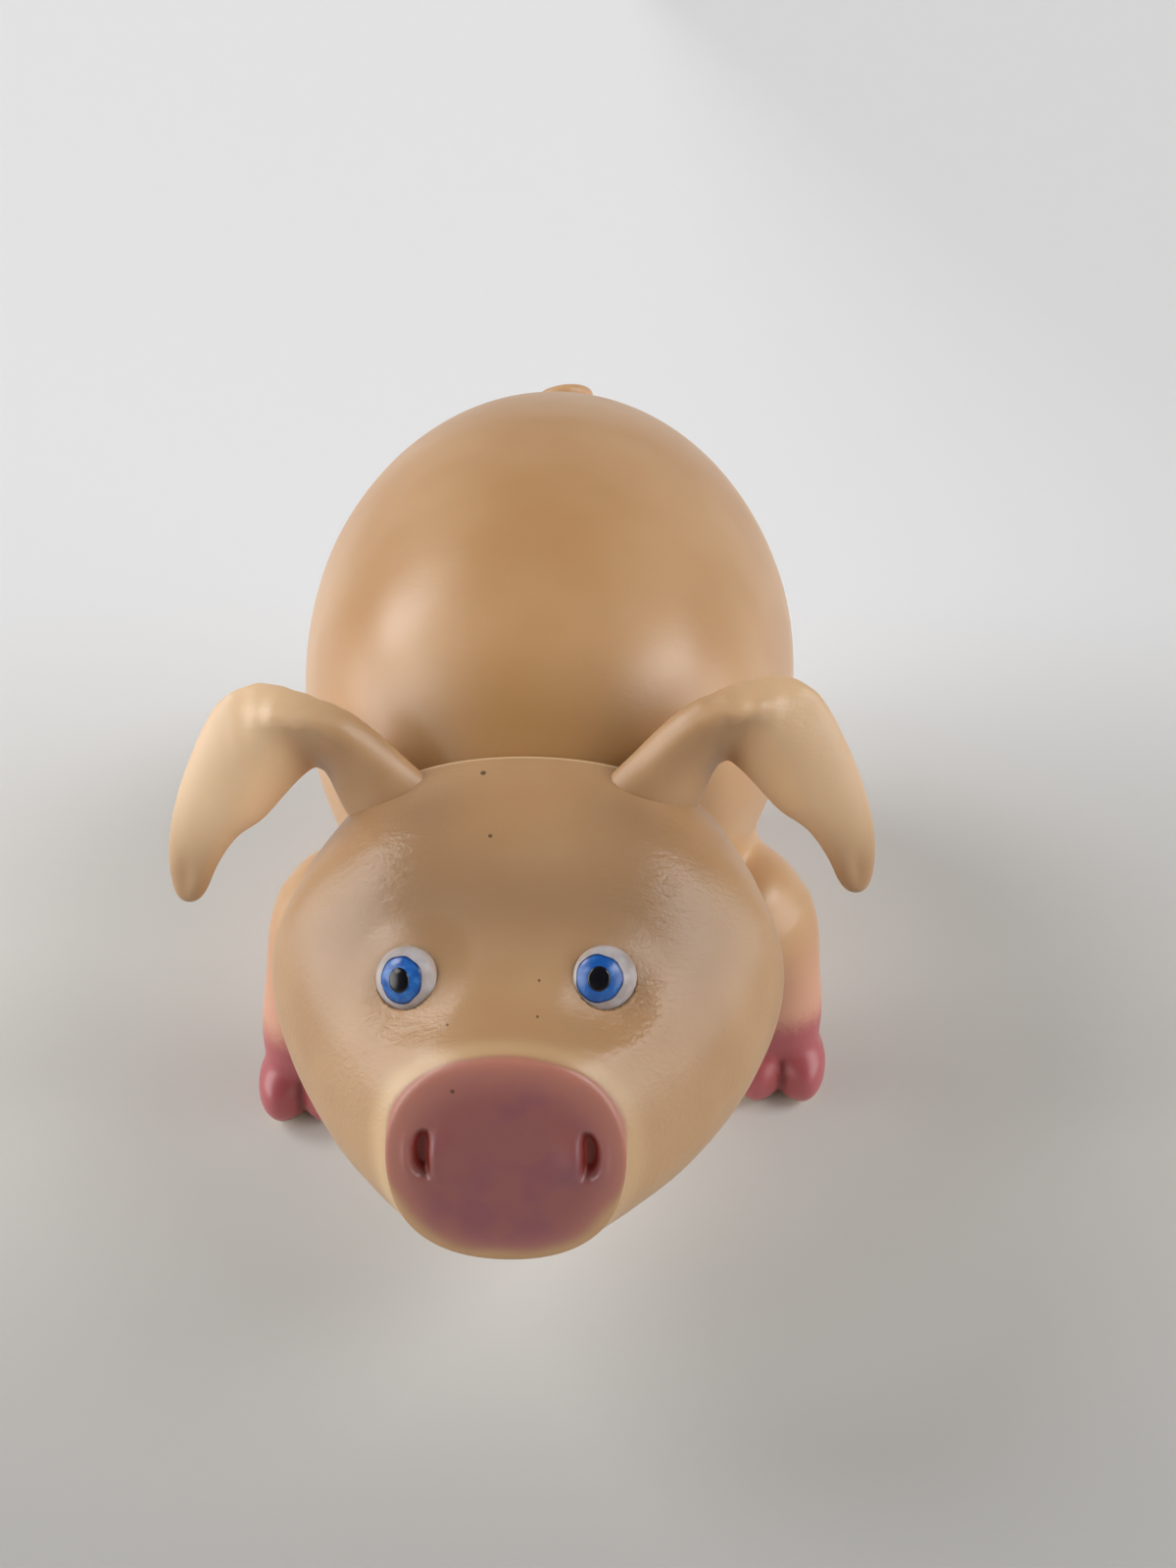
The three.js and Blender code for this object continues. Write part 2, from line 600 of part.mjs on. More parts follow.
function ear(name) {
  const flap = solid(earFlap(sides[name], earTurns[name]));
  const plug = rod(EAR_PLUG_RADIUS, -EAR_PLUG_LENGTH, EAR_PLUG_ROOT, SMALL_SIDES, earFrame(sides[name]));
  return flap.subtract(solid(grown(outerHead, SEAT_GAP))).add(plug);
}

// The plug behind the head: a tube through the body's wall, with a lip that holds it there.
function neckPlug(bore, backwards) {
  const tube = NECK_HOLE_RADIUS - TURN_GAP;
  const throat = WALL + 2 * TURN_GAP;
  return turned([
    [bore, -WALL],
    [tube, -WALL],
    [tube, throat],
    [NECK_HOLE_RADIUS + NECK_LIP, throat],
    [tube, throat + NECK_LIP_THICKNESS],
    [bore, throat + NECK_LIP_THICKNESS],
    [bore, -WALL],
  ], NECK_SIDES, backwards);
}

function headShell() {
  let cavity = solid(grown(skin(coarser(HEAD_FACETS), headPoint), -WALL));
  const holes = [];
  for (const side of Object.values(sides)) {
    const seat = eyeFrame(side);
    const pocketWall = EYE_RADIUS + SEAT_GAP + WALL;
    cavity = cavity.subtract(rod(pocketWall, -EYE_POCKET - WALL, EYE_RADIUS, EYE_SIDES, seat));
    cavity = cavity.subtract(nostril(side, WALL));
    holes.push(nostril(side, 0));
    holes.push(rod(EYE_RADIUS + SEAT_GAP, -EYE_POCKET, EYE_RADIUS, EYE_SIDES, seat));
    holes.push(rod(EYE_STEM_RADIUS + SEAT_GAP, -EYE_POCKET - 2 * WALL, 0, SMALL_SIDES, seat));
    const earHole = [-EAR_PLUG_LENGTH - SEAT_GAP, EAR_PLUG_RADIUS, SMALL_SIDES, earFrame(side)];
    holes.push(rod(EAR_PLUG_RADIUS + SEAT_GAP, ...earHole));
  }
  const backwards = facing(vec(0, 0, 0), vec(0, 1, 0));
  const bore = NECK_HOLE_RADIUS - TURN_GAP - WALL;
  holes.push(rod(bore, -2 * WALL, WALL, NECK_SIDES, backwards));
  const shell = holes.reduce((body, hole) => body.subtract(hole), solid(outerHead).subtract(cavity));
  return shell.add(neckPlug(bore, backwards));
}

// The tail: one curl of tapering vinyl that climbs out of the rump, on a plug.
function tail() {
  const frame = tailFrame();
  const count = 12;
  const stops = Array.from({ length: count + 1 }, (_, i) => {
    const turn = (i / count) * TAIL_TURNS * 2 * Math.PI;
    const spread = TAIL_CURL * Math.min(1, (4 * i) / count);
    const climb = (i / count) * TAIL_TURNS * TAIL_CURL_HEIGHT - TAIL_RADIUS;
    return vec(Math.sin(turn) * spread, (0.6 - Math.cos(turn)) * spread, climb).applyMatrix4(frame);
  });
  const middle = mix(TAIL_RADIUS, TAIL_TIP_RADIUS, 0.4);
  const radiusAt = smooth([[0, TAIL_RADIUS], [0.6, middle], [1, TAIL_TIP_RADIUS]]);
  const curl = solid(limb(TAIL_FACETS, new THREE.CatmullRomCurve3(stops), radiusAt));
  const plug = rod(TAIL_RADIUS, -TAIL_PLUG_LENGTH, TAIL_RADIUS, SMALL_SIDES, frame);
  return curl.subtract(solid(grown(outerEgg, SEAT_GAP))).add(plug);
}

// The head and what is set in it turn together about the neck's axis.
const head = new THREE.Group();
head.position.set(0, -NECK_FORWARD - TURN_GAP, BODY_Z - NECK_DROP);
head.add(piece("head_shell", headShell(), headVinyl));
for (const name of Object.keys(sides)) {
  head.add(piece(`${name}_ear`, ear(name), headVinyl), ...eye(name));
}

// The origin is on the ground, under the middle of the whole pig.
const pig = new THREE.Group();
pig.add(piece("body_shell", bodyShell(), bodyVinyl), piece("tail", tail(), bodyVinyl), head);
const box = new THREE.Box3().setFromObject(pig, true);
pig.position.set(-(box.min.x + box.max.x) / 2, -(box.min.y + box.max.y) / 2, 0);
const group = new THREE.Group();
group.add(pig);
export default group;
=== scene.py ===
# %% [markdown]
# # A vinyl toy pig
# The pig is a soft hollow moulding with airbrushed hooves and snout, plugged-in ears and
# set-in doll eyes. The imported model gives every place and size. Here each moulding gets a
# fine skin, its folds and creases, and the look of satin vinyl.
# We could sculpt all this by hand. We bend simple Blender shapes by formulas instead,
# because a formula can be read, changed and run again.

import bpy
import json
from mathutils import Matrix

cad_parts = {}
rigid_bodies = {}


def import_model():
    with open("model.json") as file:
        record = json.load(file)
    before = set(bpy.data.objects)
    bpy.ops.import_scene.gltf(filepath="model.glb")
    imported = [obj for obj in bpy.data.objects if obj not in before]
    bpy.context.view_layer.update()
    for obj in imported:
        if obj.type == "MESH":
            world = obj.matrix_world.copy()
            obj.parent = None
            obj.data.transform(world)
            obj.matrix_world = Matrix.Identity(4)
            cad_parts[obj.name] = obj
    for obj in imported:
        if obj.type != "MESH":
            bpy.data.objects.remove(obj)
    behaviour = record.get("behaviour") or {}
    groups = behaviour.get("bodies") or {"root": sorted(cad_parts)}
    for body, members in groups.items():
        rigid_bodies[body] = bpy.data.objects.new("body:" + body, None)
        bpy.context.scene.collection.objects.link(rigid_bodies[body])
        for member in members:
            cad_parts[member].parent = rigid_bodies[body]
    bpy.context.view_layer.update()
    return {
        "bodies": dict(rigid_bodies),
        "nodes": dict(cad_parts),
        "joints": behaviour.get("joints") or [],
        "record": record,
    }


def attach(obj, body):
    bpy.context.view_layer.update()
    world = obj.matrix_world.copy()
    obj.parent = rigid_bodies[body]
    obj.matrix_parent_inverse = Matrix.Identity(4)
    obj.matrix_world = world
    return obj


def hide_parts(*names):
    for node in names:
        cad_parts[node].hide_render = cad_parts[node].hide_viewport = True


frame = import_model()

# %% Tools
import json
import math

import bmesh
import bpy
import numpy as np
from mathutils import Matrix, Vector

MM = 0.001
neck = np.array(frame["joints"][0]["pos_m"]) / MM
print("the neck's face is at", neck.round(2), "mm")

# %% [markdown]
# ## Curves from a few numbers
# A moulding changes its width smoothly from end to end. A few stops and a smooth curve
# through them describe that better than a long list. We could use Blender's curve objects,
# but a plain function also tells us where an eye or an ear sits.

# %% Smooth curves through stops


def smooth(*stops):
    """A smooth function through stops of (at, value), in rising order."""
    at, value = np.array(stops, float).T
    before = np.maximum(np.arange(len(at)) - 1, 0)
    after = np.minimum(np.arange(len(at)) + 1, len(at) - 1)
    slope = (value[after] - value[before]) / (at[after] - at[before])

    def curve(x):
        i = np.clip(np.searchsorted(at, x) - 1, 0, len(at) - 2)
        run = at[i + 1] - at[i]
        t = np.clip((x - at[i]) / run, 0, 1)
        bend = t * t * (3 - 2 * t)
        lift = t * (1 - t) * run * ((1 - t) * slope[i] - t * slope[i + 1])
        return value[i] * (1 - bend) + value[i + 1] * bend + lift

    return curve


def bell(distance, spread):
    return np.exp(-((distance / spread) ** 2))


def step(low, high, x):
    t = np.clip((x - low) / (high - low), 0, 1)
    return t * t * (3 - 2 * t)


def unit(vectors):
    return vectors / np.linalg.norm(vectors, axis=-1, keepdims=True)


print("half way up a soft step:", float(smooth((0, 0), (1, 1))(0.5)))

# %% A path by its share of the length


class Route:
    """A smooth path through points, read by the share of its length."""

    def __init__(self, points):
        p = np.array(points, float)
        p = np.vstack([2 * p[0] - p[1], p, 2 * p[-1] - p[-2]])
        t = np.linspace(0, 1, 60, endpoint=False)[:, None]
        bits = []
        for a, b, c, d in zip(p, p[1:], p[2:], p[3:]):
            d0, d1, d2 = (math.sqrt(np.linalg.norm(v)) for v in (b - a, c - b, d - c))
            out = ((b - a) / d0 - (c - a) / (d0 + d1) + (c - b) / d1) * d1
            into = ((c - b) / d1 - (d - b) / (d1 + d2) + (d - c) / d2) * d1
            bits.append(b + t * out + t**2 * (3 * (c - b) - 2 * out - into)
                        + t**3 * (2 * (b - c) + out + into))
        self.places = np.vstack([*bits, p[-2]])
        run = np.linalg.norm(np.diff(self.places, axis=0), axis=1)
        self.length = run.sum()
        self.shares = np.append(0, np.cumsum(run)) / self.length

    def at(self, share):
        return np.stack([np.interp(share, self.shares, c) for c in self.places.T], -1)

    def ahead(self, share):
        low, high = np.clip(share - 0.01, 0, 1), np.clip(share + 0.01, 0, 1)
        return unit(self.at(high) - self.at(low))


print("a straight route is", Route([(0, 0, 0), (0, 5, 0), (0, 9, 0)]).length, "mm long")

# %% [markdown]
# ## Skins
# Every soft form here is closed and round, so each starts as Blender's own UV sphere. A
# vertex of the sphere tells us two things: how far it is from the first pole to the last,
# and at what angle round. A formula turns those two into the place on the pig.
# Modelling from a cube with subdivision would also do, but this way the fine skin follows
# the same formulas as the solid model.

# %% A sphere that takes a formula's shape


def reading(verts):
    """Each vertex of a unit sphere as its share from pole to pole and its angle round."""
    co = unit(np.array([v.co for v in verts]))
    return np.arccos(np.clip(co[:, 2], -1, 1)) / np.pi, np.arctan2(-co[:, 1], -co[:, 0])


def add_skin(bm, rings, around, place, finer=()):
    """Adds one closed skin. Each entry of finer is a test of a place, where faces are split."""
    made = bmesh.ops.create_uvsphere(bm, u_segments=around, v_segments=rings, radius=1)
    verts = made["verts"]
    for test, cuts in finer:
        chosen = test(place(*reading(verts)))
        edges = dict.fromkeys(e for v, yes in zip(verts, chosen) if yes for e in v.link_edges)
        bmesh.ops.subdivide_edges(bm, edges=list(edges), cuts=cuts, use_grid_fill=True)
        verts = list(bm.verts)
    share, angle = reading(verts)
    for vert, co in zip(verts, place(share, angle) * MM):
        vert.co = co
    return share, angle


def near(middle, distance):
    return lambda places: np.linalg.norm(places - middle, axis=1) < distance


def places_of(bm):
    return np.array([v.co for v in bm.verts]) / MM


def normals_of(bm):
    bm.normal_update()
    return np.array([v.normal for v in bm.verts])


def move(bm, places):
    for vert, co in zip(bm.verts, places * MM):
        vert.co = co


# %% From a bmesh to a piece


def finished(name, bm, body, nodes, material, masks=None):
    """Makes the object, says what it rides on, hides the parts it stands for, and stores its
    masks.
    """
    mesh = bpy.data.meshes.new(name)
    bmesh.ops.triangulate(bm, faces=[f for f in bm.faces if len(f.verts) > 4])
    bm.to_mesh(mesh)
    bm.free()
    for mask_name, values in (masks or {}).items():
        layer = mesh.attributes.new(mask_name, "FLOAT", "POINT")
        layer.data.foreach_set("value", np.asarray(values, np.float32))
    mesh.shade_smooth()
    mesh.materials.append(material)
    obj = bpy.data.objects.new(name, mesh)
    bpy.context.scene.collection.objects.link(obj)
    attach(obj, body)
    if nodes:
        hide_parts(*nodes)
    print(name, len(mesh.polygons), "faces")


# %% [markdown]
# ## Writing a material
# A material in Blender is a graph of nodes. Long graphs are easier to read as arithmetic, so
# a small class wraps an output socket and lets Python's own signs add the Math nodes.

# %% Arithmetic on sockets


class Wire:
    """An output socket of a node, for sums that add Math nodes."""

    def __init__(self, tree, socket):
        self.tree = tree
        self.socket = socket

    def node(self, kind, inputs=None, out=0, **settings):
        """Adds any node: its settings first, then the values or wires of its sockets."""
        made = self.tree.nodes.new(kind)
        for name, value in settings.items():
            setattr(made, name, value)
        for name, value in (inputs or {}).items():
            if isinstance(value, Wire):
                self.tree.links.new(value.socket, made.inputs[name])
            else:
                made.inputs[name].default_value = value
        return Wire(self.tree, made.outputs[out])

    def maths(self, operation, *values):
        return self.node("ShaderNodeMath", dict(enumerate(values)), operation=operation)

    def __add__(self, other):
        return self.maths("ADD", self, other)

    def __sub__(self, other):
        return self.maths("SUBTRACT", self, other)

    def __rsub__(self, other):
        return self.maths("SUBTRACT", other, self)

    def __mul__(self, other):
        return self.maths("MULTIPLY", self, other)

    __radd__ = __add__
    __rmul__ = __mul__

    def above(self, low, high):
        """0 below low and 1 above high, with a soft step between."""
        inputs = {"Value": self, "From Min": low, "From Max": high}
        return self.node("ShaderNodeMapRange", inputs, interpolation_type="SMOOTHSTEP")

    def mixed(self, first, second):
        """A colour that goes from the first to the second with this wire."""
        inputs = {0: self, 6: first, 7: second}
        return self.node("ShaderNodeMix", inputs, out=2, data_type="RGBA")

    def away_from(self, point_mm):
        """How far a place is from a fixed point, in mm."""
        inputs = {0: self, 1: tuple(c * MM for c in point_mm)}
        run = self.node("ShaderNodeVectorMath", inputs, out="Value", operation="DISTANCE")
        return run * (1 / MM)


# %% A material and what its nodes read


def material(name, **constants):
    """A Principled material, with a wire to build on and the numbers that never vary."""
    made = bpy.data.materials.new(name)
    made.use_nodes = True
    tree = made.node_tree
    shader = tree.nodes["Principled BSDF"]
    for socket, value in constants.items():
        shader.inputs[socket.replace("_", " ")].default_value = value
    start = Wire(tree, None)
    place = start.node("ShaderNodeTexCoord", out="Object")
    return made, shader, start, place


def feed(shader, **wires):
    for socket, wire in wires.items():
        wire.tree.links.new(wire.socket, shader.inputs[socket.replace("_", " ")])


def noise(place, size_mm, detail=2.0, stretch=(1, 1, 1), turn=(0, 0, 0), **more):
    """Noise whose blots are about size_mm across, and longer where stretch is smaller."""
    inputs = {"Vector": place, "Rotation": turn, "Scale": stretch}
    turned = place.node("ShaderNodeMapping", inputs)
    inputs = {"Vector": turned, "Scale": 1000 / size_mm, "Detail": detail, **more}
    return place.node("ShaderNodeTexNoise", inputs)


def mask(start, name):
    return start.node("ShaderNodeAttribute", out="Fac", attribute_name=name)


def bumped(height, distance_mm, strength):
    inputs = {"Height": height, "Distance": distance_mm * MM, "Strength": strength}
    return height.node("ShaderNodeBump", inputs)


# %% [markdown]
# ## The vinyl
# Satin vinyl is a warm, slightly see-through skin. Its colour drifts a little, its gloss is
# uneven where hands have rubbed it, and the moulding leaves faint leathery lines. The paint
# on the snout and the hooves is sprayed through a mask, so its edge is soft.
# Image textures could hold all this, but noise and masks stay sharp at any distance.

# %% Colours of vinyl and paint
PEACH = (0.6, 0.365, 0.19, 1)
PEACH_DEEP = (0.53, 0.295, 0.135, 1)
PEACH_SHADED = (0.33, 0.165, 0.05, 1)
BLUSH = (0.72, 0.37, 0.27, 1)
TAN = (0.5, 0.305, 0.158, 1)
TAN_DEEP = (0.43, 0.245, 0.118, 1)
TAN_SHADED = (0.3, 0.175, 0.09, 1)
CREAM = (0.7, 0.5, 0.29, 1)
EAR_PALE_AND_LIT = (0.8, 0.56, 0.34, 1)
HOOF_PINK = (0.44, 0.105, 0.117, 1)
HOOF_DEEP = (0.36, 0.06, 0.062, 1)
CLEFT_SHADE = (0.12, 0.015, 0.012, 1)
SNOUT_MAUVE = (0.235, 0.076, 0.088, 1)
SNOUT_WARM = (0.26, 0.088, 0.082, 1)
SNOUT_EDGE = (0.44, 0.18, 0.13, 1)
NOSTRIL_RED = (0.37, 0.045, 0.028, 1)
DIRT = (0.05, 0.025, 0.01, 1)
VINYL = dict(IOR=1.55, Subsurface_Weight=0.1, Subsurface_Scale=0.003)


def fine_specks(place, size_mm, share):
    """Small dark specks, over about that share of the cells."""
    inputs = {"Vector": place, "Scale": 1000 / size_mm}
    cell = place.node("ShaderNodeTexVoronoi", inputs, out="Distance")
    pick = place.node("ShaderNodeTexVoronoi", inputs, out="Color")
    red = pick.node("ShaderNodeSeparateColor", {"Color": pick}, out="Red")
    return (1 - cell.above(0.015, 0.04)) * red.above(1 - share, 1 - share + 0.01)


def leather(place, region):
    """Fine lines of the moulding that run across, strongest where region is 1."""
    lines = noise(place, 1.3, 3.0, stretch=(0.3, 1, 1), turn=(0.3, 0.15, 0), Distortion=0.4)
    pores = noise(place, 0.7, 4.0)
    return (lines - 0.5) * (0.25 + 0.9 * region) + (pores - 0.5) * (0.15 + 0.3 * region)


print("vinyl", VINYL)

# %% The body's vinyl
body_vinyl, shader, start, place = material("peach_vinyl", **VINYL)
drift = noise(place, 45, 2.0).above(0.35, 0.7)
skin_colour = drift.mixed(PEACH, PEACH_DEEP)
# Painted shade down the back's middle and where it tucks in behind the head
skin_colour = mask(start, "painted_shade").mixed(skin_colour, PEACH_SHADED)
skin_colour = mask(start, "blush").mixed(skin_colour, BLUSH)
paint = mask(start, "shade").mixed(HOOF_PINK, HOOF_DEEP)
sprayed = noise(place, 1.4, 3.0).above(0.2, 0.8)
pink = (mask(start, "hoof_paint") * 1.2 - 0.2 * sprayed).above(-0.1, 1)
colour = pink.mixed(skin_colour, paint)
# Painted shade: the gap between the toes is dark
colour = mask(start, "cleft_shade").mixed(colour, CLEFT_SHADE)
colour = fine_specks(place, 16, 0.06).mixed(colour, DIRT)
rubbed = noise(place, 9, 4.0)
# Roughness stays at 0.28 or more: with less, the render drew dark islands on the body.
feed(
    shader,
    Base_Color=colour,
    Roughness=0.29 + 0.1 * rubbed - 0.01 * pink,
    Normal=bumped(leather(place, mask(start, "crease")), 0.22, 0.5),
)

# %% The head's vinyl
# Pin holes and specks on the crown, the bridge and the snout: their place from the neck in
# mm, and their radius.
PIN_HOLES = [
    ((-9.3, -6.5, 37.8), 0.75), ((-6.6, -22.4, 33.6), 0.55), ((4.3, -48.9, 20.2), 0.35),
    ((4.3, -55.5, 17.5), 0.35), ((-12.2, -56.8, 16.4), 0.35), ((-10.3, -67.8, 11.1), 0.5),
]
head_vinyl, shader, start, place = material("tan_vinyl", **VINYL)
drift = noise(place, 30, 2.0).above(0.35, 0.7)
skin_colour = drift.mixed(TAN, TAN_DEEP)
skin_colour = mask(start, "shaded").mixed(skin_colour, TAN_SHADED)
# A cream halo round the snout's paint, and a painted highlight on the rim's lip
skin_colour = mask(start, "halo_and_lip_highlight").mixed(skin_colour, CREAM)
mottle = noise(place, 9, 2.0).above(0.42, 0.58)
paint = mottle.mixed(SNOUT_MAUVE, SNOUT_WARM)
paint = mask(start, "paint_edge").mixed(paint, SNOUT_EDGE)
snout = mask(start, "snout")
colour = snout.mixed(skin_colour, paint)
colour = mask(start, "nostril").mixed(colour, NOSTRIL_RED)
colour = fine_specks(place, 11, 0.08).mixed(colour, DIRT)
for from_neck, radius in PIN_HOLES:
    hole = 0.8 - 0.8 * place.away_from(neck + from_neck).above(radius * 0.6, radius)
    colour = hole.mixed(colour, DIRT)
rubbed = noise(place, 8, 4.0)
feed(
    shader,
    Base_Color=colour,
    Roughness=0.29 + 0.14 * rubbed - 0.01 * snout,
    Normal=bumped(leather(place, mask(start, "wrinkled")), 0.4, 0.8),
)

# %% The ears' and the tail's vinyl
ear_vinyl, shader, start, place = material("ear_vinyl", **VINYL)
drift = noise(place, 22, 2.0).above(0.35, 0.7)
# Paler vinyl and painted light on the flaps, darker at the root and the tip
colour = mask(start, "pale_and_lit").mixed(drift.mixed(TAN, TAN_DEEP), EAR_PALE_AND_LIT)
colour = fine_specks(place, 12, 0.08).mixed(colour, DIRT)
feed(
    shader,
    Base_Color=colour,
    Roughness=0.34 + 0.12 * noise(place, 6, 4.0),
    Normal=bumped(leather(place, mask(start, "wrinkled")), 0.3, 0.5),
)

tail_vinyl, shader, start, place = material("tail_vinyl", **VINYL)
drift = noise(place, 12, 2.0).above(0.35, 0.7)
feed(
    shader,
    Base_Color=drift.mixed(PEACH, PEACH_DEEP),
    Roughness=0.32 + 0.12 * noise(place, 5, 4.0),
    Normal=bumped(noise(place, 0.9, 4.0), 0.1, 0.3),
)
print("vinyl materials", [m.name for m in bpy.data.materials if "vinyl" in m.name])

# %% Colours of the eyes
MILK, MILK_PALE, SEAT_SHADE = (0.34, 0.29, 0.27, 1), (0.48, 0.45, 0.47, 1), (0.45, 0.37, 0.32, 1)
IRIS_DEEP, IRIS_BRIGHT = (0.012, 0.085, 0.34, 1), (0.035, 0.16, 0.48, 1)
IRIS_RIM = (0.004, 0.025, 0.13, 1)
PUPIL_DEEP, PUPIL_GREASE = (0.003, 0.003, 0.004, 1), (0.01, 0.01, 0.014, 1)
print("the iris goes from", IRIS_DEEP[:3], "to", IRIS_BRIGHT[:3])

# %% The eyes' three materials
eye_white, shader, start, place = material("milky_white", IOR=1.5, Subsurface_Weight=0.2,
                                           Subsurface_Scale=0.002)
cloud = noise(place, 4, 3.0).above(0.3, 0.7)
colour = cloud.mixed(MILK, MILK_PALE)
# Painted shade: a warm grey ring at the cap's edge, where it meets the skin
seat_shade = mask(start, "seat_shade")
feed(
    shader,
    Base_Color=seat_shade.mixed(colour, SEAT_SHADE),
    Roughness=0.26 + 0.12 * noise(place, 2, 3.0),
    Normal=bumped(noise(place, 1.5, 3.0), 0.04, 0.3),
)

iris_blue, shader, start, place = material("blue_iris", IOR=1.5)
blots = noise(place, 2.2, 3.0).above(0.35, 0.7)
colour = blots.mixed(IRIS_DEEP, IRIS_BRIGHT)
rim = mask(start, "rim").above(0.86, 0.97)
feed(
    shader,
    Base_Color=rim.mixed(colour, IRIS_RIM),
    Roughness=0.2 + 0.1 * blots,
    Normal=bumped(noise(place, 1.2, 3.0), 0.05, 0.3),
)

pupil_black, shader, start, place = material("black_pupil", IOR=1.5)
grease = noise(place, 1.5, 2.0)
feed(
    shader,
    Base_Color=grease.mixed(PUPIL_DEEP, PUPIL_GREASE),
    Roughness=0.1 + 0.1 * grease,
    Normal=bumped(noise(place, 1.6, 2.0), 0.03, 0.3),
)
print("eye materials", eye_white.name, iris_blue.name, pupil_black.name)

# %% [markdown]
# ## The body and its legs
# The real body is one hollow moulding: an egg with four legs that flow out of it. Joining
# the forms with a boolean would leave a sharp crease where a leg meets the belly. A voxel
# remesh melts them into one even skin instead, and smoothing the skin more at the hips than
# at the hooves gives the soft folds of the moulding.

# %% The egg with its muscles
BODY_LENGTH, BODY_WIDTH, BODY_HEIGHT = 204, 138, 148
NECK_FORWARD, NECK_DROP, TURN_GAP, WALL = 92, 7, 0.4, 2.2
middle = neck + (0, NECK_FORWARD + TURN_GAP, NECK_DROP)
HALF = np.array([BODY_WIDTH, BODY_LENGTH, BODY_HEIGHT]) / 2
MUSCLE = unit(np.array([0.62, -0.62, 0.48]))


def egg(share, angle):
    side = -np.cos(angle) * np.sin(np.pi * share)
    back = np.cos(np.pi * share)
    up = np.sin(angle) * np.sin(np.pi * share)
    to_muscle = np.stack([np.abs(side), back, up], -1) - MUSCLE
    swell = 1 + 4 * bell(np.linalg.norm(to_muscle, axis=1) * HALF[0], 24) / HALF[0]
    slim = 1 - 0.06 * np.maximum(0, -back)
    half = np.stack([HALF[0] * slim, HALF[1] + 0 * slim, HALF[2] * slim], -1)
    return middle + np.stack([side, back, up], -1) * half * swell[:, None]


print("the egg's middle is at", middle.round(2), "mm")

# %% Legs and toes


def limb(path, radius_at):
    """A place formula for a tube of changing radius along a path, with round ends."""

    def place(share, angle):
        along = (1 - np.cos(np.pi * share)) / 2
        ahead = path.ahead(along)
        side = unit(np.cross((0, 1, 0), ahead))
        above = np.cross(ahead, side)
        round_end = np.sqrt(np.maximum(0, 1 - np.abs(2 * along - 1) ** 8))
        radius = (radius_at(along) * round_end)[:, None]
        return path.at(along) + radius * (-np.cos(angle)[:, None] * side
                                          + np.sin(angle)[:, None] * above)

    return place


ANKLE_HEIGHT = 22


def leg_path(hip, foot):
    ankle = foot + (0, 0, ANKLE_HEIGHT)
    knee = (hip + ankle) / 2 + (6 * np.sign(hip[0]), 0, 3)
    return Route([hip, knee, ankle, foot + (0, 0, 10)])


LEG_RADIUS = smooth((0, 21), (0.25, 21), (0.52, 13.3), (0.8, 11.6), (1, 10.6))
ground_middle = middle * (1, 1, 0)
hips = [middle + (side * x, y, -33) for side in (-1, 1) for x, y in ((41, -58), (40, 40))]
feet = [
    ground_middle + offset
    for side in (-1, 1)
    for offset in ((side * 65, side * 5 - 73, 0), (side * 49, 48, 0))
]
TOE_WIDTH, HOOF_WIDTH, HOOF_LENGTH, TOE_HEIGHT, SOLE_CUT = 15.25, 27, 27, 22.2, 2.2
print("feet at", [tuple(f.round(1)) for f in feet])

# %% Melt them together
VOXEL_MM = 1.15
flesh = bmesh.new()
add_skin(flesh, 90, 120, egg)
for hip, foot in zip(hips, feet):
    add_skin(flesh, 40, 48, limb(leg_path(hip, foot), LEG_RADIUS))
    for way in (-1, 1):
        half_toe = np.array([TOE_WIDTH, HOOF_LENGTH, TOE_HEIGHT]) / 2
        at = foot + (way * (HOOF_WIDTH - TOE_WIDTH) / 2, -3, TOE_HEIGHT / 2 - SOLE_CUT)
        toe = bmesh.ops.create_uvsphere(flesh, u_segments=32, v_segments=20, radius=1)
        bmesh.ops.scale(flesh, verts=toe["verts"], vec=half_toe * MM)
        bmesh.ops.translate(flesh, verts=toe["verts"], vec=at * MM)


def melted(bm, voxel_mm):
    """The bmesh's overlapping forms as one even skin of small squares."""
    mesh = bpy.data.meshes.new("melting")
    bm.to_mesh(mesh)
    bm.free()
    holder = bpy.data.objects.new("melting", mesh)
    bpy.context.scene.collection.objects.link(holder)
    remesh = holder.modifiers.new("melt", "REMESH")
    remesh.mode = "VOXEL"
    remesh.voxel_size = voxel_mm * MM
    depsgraph = bpy.context.evaluated_depsgraph_get()
    made = bpy.data.meshes.new_from_object(holder.evaluated_get(depsgraph))
    result = bmesh.new()
    result.from_mesh(made)
    bpy.data.objects.remove(holder)
    bpy.data.meshes.remove(mesh)
    bpy.data.meshes.remove(made)
    return result


body = melted(flesh, VOXEL_MM)
print("the melted skin has", len(body.faces), "faces")

# %% Soften the skin, most at the hips


def soften(bm, passes, chosen=None):
    verts = bm.verts[:]
    if chosen is not None:
        verts = [v for v, yes in zip(verts, chosen) if yes]
    for _ in range(passes):
        bmesh.ops.smooth_vert(bm, verts=verts, factor=0.5, use_axis_x=True,
                              use_axis_y=True, use_axis_z=True)


soften(body, 5)
# The folds at the hips, above the knees, in rings that close in
KNEE_HEIGHT = 34
for reach, passes in ((30, 30), (24, 60), (17, 90)):
    places = places_of(body)
    outside = np.linalg.norm((places - middle) / HALF, axis=1)
    at_crease = np.zeros(len(places), bool)
    for hip, foot in zip(hips, feet):
        crease = hip * 0.72 + (foot + (0, 0, ANKLE_HEIGHT)) * 0.28
        at_crease |= np.linalg.norm((places - crease) * (1, 1, 0.8), axis=1) < reach
    soften(body, passes, at_crease & (places[:, 2] > KNEE_HEIGHT) & (outside < 1.25))
